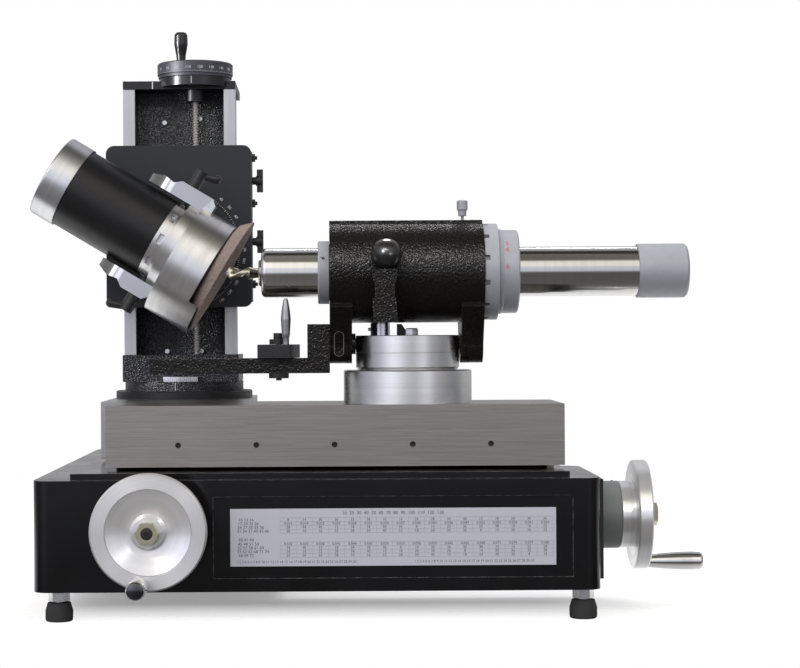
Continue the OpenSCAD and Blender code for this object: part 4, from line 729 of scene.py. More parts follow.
@dataclass
class Shape:
    """A mesh in the making, in the frame's metres."""

    mesh: bmesh.types.BMesh = field(default_factory=bmesh.new)

    def lathe(
        self, profile: Sequence[Pair], centre: Vector, axis: Vector, steps: int = 64
    ) -> "Shape":
        """Turns a profile about an axis.

        Args:
            profile: Radius and distance along the axis of each point, in millimetres.
            centre: Where the distances start from.
            axis: The axis, of any length.
            steps: Faces round the axis.

        Returns:
            This shape.
        """
        along = axis.normalized()
        side = along.orthogonal().normalized()
        other = along.cross(side)
        turns = [2.0 * math.pi * i / steps for i in range(steps)]
        spokes = [side * math.cos(turn) + other * math.sin(turn) for turn in turns]
        rings: List[List[bmesh.types.BMVert]] = []
        for radius, height in profile:
            middle = centre + along * (height * MM)
            if radius == 0.0:
                rings.append([self.mesh.verts.new(middle)])
            else:
                rings.append([self.mesh.verts.new(middle + spoke * radius * MM) for spoke in spokes])
        for low, high in zip(rings, rings[1:]):
            for i in range(steps):
                j = (i + 1) % steps
                corners = [low[i % len(low)], low[j % len(low)], high[j % len(high)], high[i % len(high)]]
                unique = list(dict.fromkeys(corners))
                if len(unique) > 2:
                    self.mesh.faces.new(unique)
        return self

    def prism(
        self, outline: Sequence[Pair], base: Vector, right: Vector, up: Vector, depth: float
    ) -> "Shape":
        """Pushes an outline out into a solid.

        Args:
            outline: Points of the outline, in millimetres to the right and up.
            base: Where the outline's zero is.
            right: Direction to the right.
            up: Direction up.
            depth: How far to push, in millimetres, along the cross product of right and up.

        Returns:
            This shape.
        """
        out = right.cross(up).normalized() * depth * MM
        ends = [
            [self.mesh.verts.new(base + right * (a * MM) + up * (b * MM) + shift) for a, b in outline]
            for shift in (Vector(), out)
        ]
        self.mesh.faces.new(list(reversed(ends[0])))
        self.mesh.faces.new(ends[1])
        for i in range(len(outline)):
            j = (i + 1) % len(outline)
            self.mesh.faces.new([ends[0][i], ends[0][j], ends[1][j], ends[1][i]])
        return self

    def skin(self, rings: Sequence[Sequence[Vector]]) -> "Shape":
        """Joins rings of equal length into a closed tube.

        Args:
            rings: The rings' points, in order.

        Returns:
            This shape.
        """
        made = [[self.mesh.verts.new(point) for point in ring] for ring in rings]
        for low, high in zip(made, made[1:]):
            for i in range(len(low)):
                j = (i + 1) % len(low)
                self.mesh.faces.new([low[i], low[j], high[j], high[i]])
        self.mesh.faces.new(list(reversed(made[0])))
        self.mesh.faces.new(made[-1])
        return self

    def face(self, *points: Vector) -> None:
        """Adds a flat face with corners of its own."""
        self.mesh.faces.new([self.mesh.verts.new(point) for point in points])

    def figures(self, text: str, spread: Callable[[float, float], Vector], height: float) -> None:
        """Adds plain figures as flat faces.

        Args:
            text: The figures.
            spread: Turns millimetres right and up of the figures' middle into a point.
            height: Height of a figure, in millimetres.
        """
        for corners in FIGURES.faces(text):
            self.face(*(spread(a * height, b * height) for a, b in corners))

    def finished(
        self, name: str, finish: Finish, smooth: float = 35.0, bevel: float = 0.0
    ) -> bpy.types.Object:
        """Turns the shape into an object.

        Args:
            name: The object's name.
            finish: Its finish.
            smooth: Angle in degrees up to which faces look smooth.
            bevel: Width of its rounded corners, in millimetres.

        Returns:
            The object.
        """
        bmesh.ops.remove_doubles(self.mesh, verts=self.mesh.verts, dist=1e-7)
        bmesh.ops.recalc_face_normals(self.mesh, faces=self.mesh.faces)
        data = bpy.data.meshes.new(name)
        self.mesh.to_mesh(data)
        self.mesh.free()
        data.shade_smooth()
        data.materials.append(finish.material())
        made = bpy.data.objects.new(name, data)
        bpy.context.scene.collection.objects.link(made)
        soften(made, smooth, bevel)
        return made


@dataclass
class Typeface:
    """Figures of Blender's own plain typeface, cut once for each text."""

    figure_height: float = 0.69
    cut: Dict[str, List[List[Pair]]] = field(default_factory=dict)

    def faces(self, text: str) -> List[List[Pair]]:
        """Gives the faces of a text of unit height, about its middle.

        Args:
            text: The figures.

        Returns:
            The corners of each face.
        """
        if text not in self.cut:
            curve = bpy.data.curves.new("figures", "FONT")
            curve.body, curve.size, curve.resolution_u = text, 1.0, 2
            curve.align_x, curve.align_y = "CENTER", "CENTER"
            holder = bpy.data.objects.new("figures", curve)
            bpy.context.scene.collection.objects.link(holder)
            graph = bpy.context.evaluated_depsgraph_get()
            data = bpy.data.meshes.new_from_object(holder.evaluated_get(graph))
            points = [vertex.co / self.figure_height for vertex in data.vertices]
            self.cut[text] = [[(points[v].x, points[v].y) for v in face.vertices] for face in data.polygons]
            bpy.data.objects.remove(holder)
            bpy.data.curves.remove(curve)
            bpy.data.meshes.remove(data)
        return self.cut[text]


FIGURES = Typeface()


def soften(piece: bpy.types.Object, angle: float, bevel: float) -> None:
    """Rounds a piece's corners and makes its curved faces look smooth, with modifiers only.

    Args:
        piece: The piece.
        angle: Angle in degrees up to which faces look smooth.
        bevel: Width of the rounded corners in millimetres, or 0 for none.
    """
    weld = piece.modifiers.new("weld", "WELD")
    weld.merge_threshold = WELD_GAP
    if bevel <= 0.0:
        split = piece.modifiers.new("split", "EDGE_SPLIT")
        split.split_angle = math.radians(angle)
        return
    corners = piece.modifiers.new("corners", "BEVEL")
    corners.width = bevel * MM
    corners.segments = 2
    corners.limit_method = "ANGLE"
    corners.angle_limit = math.radians(angle)
    corners.miter_outer = "MITER_ARC"
    corners.harden_normals = False
    smooth = piece.modifiers.new("smooth", "WEIGHTED_NORMAL")
    smooth.keep_sharp = False
    smooth.weight = 80


def hexagon(across: float, turn: float = 0.0) -> List[Pair]:
    """Corners of a hexagon.

    Args:
        across: Distance across its flats.
        turn: Turn in degrees.

    Returns:
        The corners.
    """
    radius = across / 2.0 / math.cos(math.radians(30.0))
    angles = [math.radians(60.0 * i + turn) for i in range(6)]
    return [(radius * math.cos(a), radius * math.sin(a)) for a in angles]


@dataclass
class SubAssembly:
    """A part of the machine that dresses its own nodes and adds its own pieces."""

    pieces: List[str] = field(default_factory=list)

    def build(self) -> None:
        """Makes and dresses everything in this sub-assembly."""
        raise NotImplementedError

    def dress(self, finish: Finish, *nodes: str, bevel: float = 0.4, angle: float = 34.0) -> None:
        """Gives solids of the frame their finish and rounded corners.

        Args:
            finish: The finish.
            nodes: The solids' names.
            bevel: Width of the rounded corners, in millimetres.
            angle: Angle in degrees up to which faces look smooth.
        """
        for node in nodes:
            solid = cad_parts[node]
            solid.data.materials.clear()
            solid.data.materials.append(finish.material())
            for face in solid.data.polygons:
                face.use_smooth = True
            soften(solid, angle, bevel)
            self.pieces.append(node)

    def redress(self, finish: Finish, node: str, chosen: Callable[[Vector, Vector], bool]) -> None:
        """Gives some faces of a solid a finish of their own.

        Args:
            finish: The finish.
            node: The solid's name.
            chosen: Tells from a face's middle and its normal whether it is one of them.
        """
        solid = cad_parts[node]
        solid.data.materials.append(finish.material())
        last = len(solid.data.materials) - 1
        for face in solid.data.polygons:
            if chosen(face.center, face.normal):
                face.material_index = last

    def seat(self, piece: bpy.types.Object, body: str, slot: str, *replaced: str) -> None:
        """Puts a piece on the body that it moves with.

        Args:
            piece: The piece, in its place.
            body: The body's name.
            slot: The record's material slot; not used.
            replaced: Solids that it stands for.
        """
        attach(piece, body)
        if replaced:
            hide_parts(*replaced)
        self.pieces.append(piece.name)

    def middle(self, node: str) -> Vector:
        """Gives the middle of a solid's box."""
        low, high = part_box(node)
        return (Vector(low) + Vector(high)) / 2.0


@dataclass(frozen=True)
class Drum:
    """A round surface that marks and figures are laid on, a little above it."""

    centre: Vector
    axis: Vector
    zero: Vector
    radius: float
    lift: float = 0.03

    def point(self, turn: float, along: float) -> Vector:
        """Gives a point just above the surface.

        Args:
            turn: Degrees round the axis from the zero direction.
            along: Distance along the axis, in millimetres.

        Returns:
            The point in the frame.
        """
        angle = math.radians(turn)
        out = self.zero * math.cos(angle) + self.axis.cross(self.zero) * math.sin(angle)
        return self.centre + self.axis * (along * MM) + out * ((self.radius + self.lift) * MM)

    def figures(
        self, shape: Shape, text: str, turn: float, along: float, height: float, upright: bool = True
    ) -> None:
        """Lays figures round the surface.

        Args:
            shape: The shape that takes them.
            text: The figures.
            turn: Degrees round the axis of their middle.
            along: Distance along the axis of their middle, in millimetres.
            height: Height of a figure, in millimetres.
            upright: Whether they stand along the axis, or lie along it.
        """
        degrees = math.degrees(1.0 / self.radius)

        def spread(right: float, up: float) -> Vector:
            """Wraps a point of the figures round the surface."""
            if upright:
                return self.point(turn + right * degrees, along + up)
            return self.point(turn - up * degrees, along + right)

        shape.figures(text, spread, height)

    def mark(self, shape: Shape, turn: float, low: float, high: float, width: float) -> None:
        """Lays a thin line along the axis.

        Args:
            shape: The shape that takes it.
            turn: Degrees round the axis.
            low: Where it starts along the axis, in millimetres.
            high: Where it ends.
            width: Its width, in millimetres.
        """
        half = math.degrees(width / 2.0 / self.radius)
        corners = ((turn - half, low), (turn + half, low), (turn + half, high), (turn - half, high))
        shape.face(*(self.point(turned_to, along) for turned_to, along in corners))


@dataclass(frozen=True)
class Face:
    """A flat surface that marks and figures are laid on, with polar places round its middle."""

    centre: Vector
    right: Vector
    up: Vector
    lift: float = 0.05

    def point(self, right: float, up: float) -> Vector:
        """Gives a point just above the face, from millimetres right and up."""
        out = self.right.cross(self.up)
        return self.centre + self.right * (right * MM) + self.up * (up * MM) + out * (self.lift * MM)

    def polar(self, radius: float, angle: float) -> Vector:
        """Gives a point at a radius and an angle from the right."""
        turn = math.radians(angle)
        return self.point(radius * math.cos(turn), radius * math.sin(turn))

    def bar(self, shape: Shape, left: float, low: float, right: float, high: float) -> None:
        """Lays a flat rectangle."""
        corners = ((left, low), (right, low), (right, high), (left, high))
        shape.face(*(self.point(across, up) for across, up in corners))

    def spoke(self, shape: Shape, angle: float, inner: float, outer: float, width: float) -> None:
        """Lays a thin line outwards from the middle.

        Args:
            shape: The shape that takes it.
            angle: Its angle from the right, in degrees.
            inner: Radius where it starts, in millimetres.
            outer: Radius where it ends.
            width: Its width.
        """
        corners = ((inner, -1.0), (inner, 1.0), (outer, 1.0), (outer, -1.0))
        half = math.degrees(width / 2.0)
        shape.face(*(self.polar(radius, angle - side * half / radius) for radius, side in corners))

    def figures(
        self, shape: Shape, text: str, right: float, up: float, height: float, turn: float = 0.0
    ) -> None:
        """Lays figures on the face.

        Args:
            shape: The shape that takes them.
            text: The figures.
            right: Place of their middle, in millimetres to the right.
            up: Place of their middle, in millimetres up.
            height: Height of a figure.
            turn: Their turn in degrees.
        """
        cos, sin = math.cos(math.radians(turn)), math.sin(math.radians(turn))

        def spread(a: float, b: float) -> Vector:
            """Turns a point of the figures and puts it in its place."""
            return self.point(right + a * cos - b * sin, up + a * sin + b * cos)

        shape.figures(text, spread, height)


@dataclass
class Base(SubAssembly):
    """Cast base with its ruled plate, feet and dovetail ways."""

    plate_left: float = 194.0
    plate_low: float = 57.0
    plate_width: float = 326.0
    plate_front: float = 0.2
    plate_edge: float = 3.0
    labels_left: float = 9.0
    first_column: float = 50.0
    columns: int = 17
    blocks: Tuple[Pair, ...] = ((33.0, 48.4), (8.8, 24.2))
    rows: Tuple[float, ...] = (46.4, 42.6, 38.8, 35.0, 26.4, 22.2, 18.4, 14.6, 10.8)
    heading_row: int = 4
    fine_rows: Tuple[int, ...] = (1, 5)
    label_step: float = 2.3
    top_scale_up: float = 52.9
    low_scale_up: float = 4.2
    low_scale_at: Pair = (66.0, 244.0)
    rule_below: float = 2.0
    rule: float = 0.18
    upright_rule: float = 0.16
    figure: float = 2.6
    label_figure: float = 2.99
    top_figure: float = 3.25
    low_figure: float = 2.47

    def build(self) -> None:
        """Dresses the castings and lays the ruled plate's figures."""
        self.dress(BLACK_ENAMEL, "base_casting", bevel=0.55)
        self.dress(PLATE_FACE, "chart_plate", bevel=0.15)
        self.dress(RUBBER, "foot_pads")
        self.dress(BRIGHT_ZINC, "foot_studs", bevel=0.3)
        self.dress(GROUND_WAYS, "x_way", "y_way", bevel=0.5)
        self._chart()

    def _chart(self) -> None:
        """Rules the plate into rows and columns, and fills them with plain numbers."""
        face = Face(place(self.plate_left, self.plate_front, self.plate_low), RIGHT, UP)
        right = self.plate_width - self.plate_edge
        step = (right - self.first_column) / self.columns
        self._rules(face, right, step)
        ink = Shape()
        for row, up in enumerate(self.rows):
            if row != self.heading_row:
                for column in range(self.columns):
                    across = self.first_column + (column + 0.5) * step
                    face.figures(ink, self._number(row, column), across, up, self.figure)
            count = 3 + (row * 5) % 4
            label = " ".join(str((7 * row + 3 * k) % 90 + 10) for k in range(count))
            face.figures(ink, label, self.labels_left + self.label_step * count, up, self.label_figure)
        top_scale = "  ".join(str(10 * k) for k in range(1, 14))
        face.figures(ink, top_scale, self.plate_width / 2, self.top_scale_up, self.top_figure)
        low_scale = " ".join(str(k) for k in range(1, 31))
        for across in self.low_scale_at:
            face.figures(ink, low_scale, across, self.low_scale_up, self.low_figure)
        self.seat(ink.finished("chart_figures", PRINT_BLACK), "base", "chart_print")

    def _number(self, row: int, column: int) -> str:
        """Gives the plain number in a place of the chart."""
        if row in self.fine_rows:
            return f"{0.012 + 0.003 * column + 0.004 * row:.3f}"
        return str(8 + 2 * ((column * 3 + row * 5) % 17))

    def _rules(self, face: Face, right: float, step: float) -> None:
        """Draws the chart's lines.

        Args:
            face: The plate's face.
            right: Where the lines end.
            step: Distance between the upright lines.
        """
        rules = Shape()
        for row, up in enumerate(self.rows):
            if row != self.heading_row:
                low = up - self.rule_below
                face.bar(rules, self.first_column, low, right, low + self.rule)
        for low, high in self.blocks:
            face.bar(rules, self.first_column, high, right, high + self.rule)
            for column in range(self.columns + 1):
                left = self.first_column + column * step - self.upright_rule / 2.0
                face.bar(rules, left, low, left + self.upright_rule, high)
        self.seat(rules.finished("chart_rules", PRINT_GREY), "base", "chart_print")


@dataclass
class FeedDrive(SubAssembly):
    """A feed screw with its collar, handwheel, nut and turning handle."""

    letter: str = "x"
    origin: Vector = field(default_factory=Vector)
    out: Vector = field(default_factory=lambda: RIGHT.copy())
    collar_radius: float = 35.4
    flange: float = 5.0
    paint_gap: float = 0.05
    screw_places: Pair = (11.0, 25.5)
    screw_sunk: float = 0.25
    socket_across: float = 4.6
    socket_rise: float = 0.5

    def build(self) -> None:
        """Dresses the drive and adds the collar's set screws and the dark end of the feed screw."""
        letter, lathe = self.letter, (self.origin, self.out)
        wheel = turned(
            f"{letter}_wheel_turned", *lathe, (0.74, 0.74, 0.745), 0.3, anisotropy=0.7, metallic=0.75
        )
        screw = turned(f"{letter}_screw_turned", *lathe, (0.5, 0.5, 0.49), 0.35)
        collar = TwoTone(
            f"{letter}_collar_paint", (0.16, 0.17, 0.17), roughness=0.4, dust=0.08, rubbed=0.12,
            second=(0.01, 0.01, 0.011), facing=tuple(self.out),
            line=self.origin.dot(self.out) + (self.flange + self.paint_gap) * MM,
        )
        self.dress(collar, f"{letter}_feed_collar", bevel=0.5)
        self.dress(screw, f"{letter}_leadscrew", bevel=0.3)
        self.dress(wheel, f"{letter}_handwheel", bevel=0.4)
        self.dress(YELLOW_ZINC, f"{letter}_wheel_nut", bevel=0.35)
        self.dress(MIRROR_CHROME, f"{letter}_handle", bevel=0.0, angle=50.0)
        self.redress(GUNMETAL, f"{letter}_handle", lambda middle, normal: normal.dot(self.out) > 0.7)
        self._set_screws()
        self._socket()

    def _socket(self) -> None:
        """Adds the dark end of the screw, and its hexagon socket as a dark hexagon of painted shade laid on
        the end.
        """
        letter, body = self.letter, f"{self.letter}_feed"
        high = max(Vector(corner).dot(self.out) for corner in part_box(f"{letter}_leadscrew"))
        end = self.origin + self.out * (high - self.origin.dot(self.out))
        profile = [(0.0, 0.05), (2.2, 0.05), (2.2, 0.35), (6.6, 0.35), (7.2, 0.02)]
        shape = Shape().lathe(profile, end, self.out, 36)
        self.seat(shape.finished(f"{letter}_screw_end", BLACKED_STEEL), body, "dark_steel")
        # Painted shade: the socket's hole is not cut; a dark hexagon laid on the end stands for the shade
        # inside it.
        hexagonal = hexagon(self.socket_across)
        hole = Shape().prism(hexagonal, end, UP.cross(self.out), UP, self.socket_rise)
        self.seat(hole.finished(f"{letter}_socket", SOCKET_DARK), body, "dark_steel")

    def _set_screws(self) -> None:
        """Adds the two dark set screws on top of the collar."""
        shape = Shape()
        high = self.collar_radius - self.screw_sunk
        profile = [(0.0, 0.9), (1.1, 0.9), (1.1, 0.2), (2.1, 0.2), (2.3, 0.0), (2.3, -1.5)]
        for along in self.screw_places:
            top = self.origin + self.out * (along * MM) + UP * (high * MM)
            shape.lathe(profile, top, UP, 20)
        self.seat(shape.finished(f"{self.letter}_set_screws", BLACKED_STEEL), "base", "dark_steel")


@dataclass
class CrossTable(SubAssembly):
    """Table of the cross slide, its gib and feed nut, and the work head's base."""

    def build(self) -> None:
        """Dresses the table's parts."""
        self.dress(GROUND_TABLE, "table", bevel=0.0)
        self.dress(BLACKED_STEEL, "x_gib", bevel=0.2)
        self.dress(BRONZE, "x_feed_nut", bevel=0.4)
        centre = self.middle("workhead_base")
        foot = turned(
            "head_base_turned", centre, UP, (0.74, 0.74, 0.73), 0.24, anisotropy=0.55, contrast=0.06
        )
        self.dress(foot, "workhead_base", bevel=0.5)


@dataclass
class WorkHead(SubAssembly):
    """Swivel and rocking body of the work head, with its small stops."""

    axis_x: float = 376.6
    axis_y: float = 112.0
    swivel_top: float = 287.4
    post_top: float = 300.9
    post_at: Pair = (-28.0, 23.0)
    post_radius: float = 10.5
    post_edge: float = 0.6
    post_screw_up: float = 6.5
    bolt_at: Pair = (4.7, 0.0)
    bolt_across: float = 13.0
    bolt_head: float = 6.6
    pointer_at: Pair = (-10.6, 17.0)
    pointer_depth: float = 8.0
    slot_x: float = 304.35
    slot_half: float = 8.0
    rim: Pair = (4.5, 5.25)
    rim_lift: float = 0.12
    rock_z: float = 278.6
    leg_radius: float = 20.5
    leg_taper: float = 0.662

    def build(self) -> None:
        """Dresses the head, and makes the stops and the painted highlight round the slot."""
        centre = self.middle("swivel_head")
        swivel = turned(
            "swivel_turned", centre, UP, (0.72, 0.72, 0.71), 0.24, anisotropy=0.55, contrast=0.06
        )
        self.dress(swivel, "swivel_head", bevel=0.4)
        self.dress(HAMMER_BLACK, "workhead_body", bevel=0.9)
        self.dress(BLACKED_STEEL, "yoke_pivots", bevel=0.3)
        self.dress(BLACK_PLASTIC, "ball_knob", bevel=0.0, angle=45.0)
        self.dress(HAMMER_BLACK, "rest_bar", bevel=0.5)
        self._stops()
        self._slot_rim()

    def _slot_rim(self) -> None:
        """Adds a painted highlight round the slot in the left leg: a thin bright strip laid just in front of
        the leg, where the slot's edge catches the light.
        """
        steps = 48
        inner, outer = ([self._rim_point(radius, i / steps) for i in range(steps + 1)] for radius in self.rim)
        rim = Shape()
        for i in range(steps):
            rim.face(inner[i], inner[i + 1], outer[i + 1], outer[i])
        # Painted highlight: the rim strip is bright metal standing for the light on the slot's edge.
        self.seat(rim.finished("slot_rim", BRIGHT_ZINC), "yoke", "bright_steel")

    def _rim_point(self, radius: float, share: float) -> Vector:
        """Gives a point of the rim, just in front of the leg.

        Args:
            radius: Radius of the rim round the slot's ends, in millimetres.
            share: How far round the slot it is.

        Returns:
            The point in the frame.
        """
        across, high = math.sin(2.0 * math.pi * share), math.cos(2.0 * math.pi * share)
        up = high * radius + math.copysign(self.slot_half, high)
        front = self.leg_radius + up * self.leg_taper
        if up < 0.0:
            front = math.sqrt(max(self.leg_radius**2 - up * up, 0.0))
        return place(self.slot_x + across * radius, self.axis_y - front - self.rim_lift, self.rock_z + up)

    def _stops(self) -> None:
        """Makes the post with its set screw, the hexagon bolt and the pointer block."""
        high, edge = self.post_top - self.swivel_top, self.post_edge
        foot = self._on_swivel(self.post_at)
        r = self.post_radius
        outline = [(0.0, 0.0), (r, 0.0), (r, high - edge), (r - edge, high), (0.0, high)]
        post = Shape().lathe(outline, foot, UP, 64)
        screw = foot - RIGHT * ((r - 1.0) * MM) + UP * (self.post_screw_up * MM)
        profile = [(0.0, 0.0), (1.8, 0.0), (1.8, 3.1), (1.5, 3.5), (0.9, 3.5), (0.9, 2.2), (0.0, 2.2)]
        post.lathe(profile, screw, -RIGHT, 24)
        finish = turned("post_turned", foot, UP, (0.6, 0.6, 0.66), 0.25, anisotropy=0.5)
        self.seat(post.finished("stop_post", finish), "swivel", "bright_steel", "swivel_stops")
        bolt_at = self._on_swivel(self.bolt_at)
        bolt = Shape().prism(hexagon(self.bolt_across, 30.0), bolt_at, RIGHT, BACK, self.bolt_head)
        dome = [(0.0, 7.5), (5.4, 7.5), (6.4, 6.6), (6.4, 6.0), (0.0, 6.0)]
        bolt.lathe(dome, bolt_at, UP, 36)
        self.seat(bolt.finished("hexagon_bolt", BRIGHT_ZINC, bevel=0.25), "swivel", "bright_steel")
        outline = [(0.0, 0.0), (9.0, 0.0), (9.0, 6.0), (5.0, 12.0), (0.0, 12.0)]
        pointer = Shape().prism(outline, self._on_swivel(self.pointer_at), RIGHT, UP, self.pointer_depth)
        self.seat(pointer.finished("pointer_block", BLACK_MACHINED, bevel=0.5), "swivel", "dark_steel")

    def _on_swivel(self, at: Pair) -> Vector:
        """Gives a point on the swivel's top, from millimetres right of its axis and behind it."""
        return place(self.axis_x + at[0], self.axis_y + at[1], self.swivel_top)


@dataclass
class WorkSpindle(SubAssembly):
    """Sliding, turning spindle with its rings, collet, cutter and index pin."""

    axis_y: float = 112.0
    axis_z: float = 354.0
    tip: float = 185.1
    nose: float = 223.1
    cutter_radius: float = 6.35
    cutter_end: float = 70.0
    flute_length: float = 25.0
    flute_fade: float = 7.0
    flute_depth: float = 0.52
    flute_turn: float = 0.9
    point_share: float = 0.06
    point_length: float = 4.6
    land: float = 0.3
    lead: float = 62.0
    ring_start: float = 471.3
    ring_radius: float = 43.8
    number_middle: float = 8.2
    number_height: float = 5.4
    numbers: Tuple[Tuple[float, str], ...] = (
        (-40.0, "5"), (-29.0, "4"), (-5.0, "6"), (48.0, "1"), (84.0, "2"),
        (120.0, "3"), (156.0, "8"), (192.0, "9"), (228.0, "10"), (264.0, "12"),
    )

    def build(self) -> None:
        """Dresses the spindle and makes its cutter and figures."""
        axis = place(self.nose, self.axis_y, self.axis_z)
        self.dress(SATIN_RING, "front_collar", "index_ring", "number_ring", "spindle_cap", bevel=0.5)
        tube = turned("spindle_turned", axis, RIGHT, (0.56, 0.56, 0.56), 0.15, anisotropy=0.3, contrast=0.06)
        self.dress(tube, "spindle_tube", bevel=0.0, angle=40.0)
        self.dress(turned("collet_turned", axis, RIGHT, (0.42, 0.42, 0.42), 0.24), "collet", bevel=0.25)
        self.dress(SATIN_RING, "index_pin", bevel=0.25)
        self._cutter()
        self._numbers()

    def _cutter(self) -> None:
        """Makes the two-fluted cutter with its twisted flutes and shank."""
        steps = 56
        rings: List[List[Vector]] = []
        for i in range(steps + 1):
            along = self.flute_length * i / steps
            grow = min(1.0, self.point_share + along / self.point_length)
            fade = min(1.0, (self.flute_length - along) / self.flute_fade)
            rings.append(self._ring(along, self.cutter_radius * grow, self.flute_depth * fade))
        for along in (self.flute_length + 0.5, self.cutter_end):
            rings.append(self._ring(along, self.cutter_radius, 0.0))
        made = Shape().skin(rings).finished("cutter", CUTTER_STEEL, smooth=40.0)
        self.seat(made, "spindle", "ground_steel", "end_mill")

    def _ring(self, along: float, radius: float, depth: float) -> List[Vector]:
        """Gives a section of the cutter.

        Args:
            along: Distance from the tip, in millimetres.
            radius: Its radius.
            depth: Depth of the flutes, as a share of the radius.

        Returns:
            The section's points.
        """
        points, count, land = [], 72, self.land
        for k in range(count):
            share = (2.0 * k / count) % 1.0
            cut = math.sin(math.pi * (share - land) / (1.0 - land)) ** 0.8 if share > land else 0.0
            r = radius * (1.0 - depth * cut)
            turn = 2.0 * math.pi * (k / count + along / self.lead) + self.flute_turn
            across, up = r * math.cos(turn), r * math.sin(turn)
            points.append(place(self.tip + along, self.axis_y - across, self.axis_z + up))
        return points

    def _numbers(self) -> None:
        """Lays the red figures on the numbered ring."""
        drum = Drum(place(self.ring_start, self.axis_y, self.axis_z), RIGHT, -BACK, self.ring_radius)
        shape = Shape()
        for turn, text in self.numbers:
            drum.figures(shape, text, turn, self.number_middle, self.number_height, upright=False)
        self.seat(shape.finished("ring_numbers", PRINT_RED), "sleeve", "ring_steel")


@dataclass
class ToothRest(SubAssembly):
    """Clamp bolt, block and finger of the tooth rest."""

    def build(self) -> None:
        """Dresses the tooth rest."""
        self.dress(BLACKED_STEEL, "rest_bolt", bevel=0.35)
        self.dress(BLACK_MACHINED, "rest_block", bevel=0.6)
        finger = turned("finger_turned", self.middle("rest_finger"), UP, (0.4, 0.4, 0.42), 0.34)
        self.dress(finger, "rest_finger", bevel=0.0, angle=50.0)


@dataclass
class ColumnSlide(SubAssembly):
    """Slide under the column, with its flange and the swivel scale on it."""

    def build(self) -> None:
        """Dresses the slide."""
        self.dress(GROUND_WAYS, "y_saddle", bevel=0.6)
        self.dress(BLACKED_STEEL, "y_gib", bevel=0.2)
        self.dress(BRONZE, "y_feed_nut", bevel=0.4)
        self.dress(BLACK_MACHINED, "column_flange", bevel=0.5)


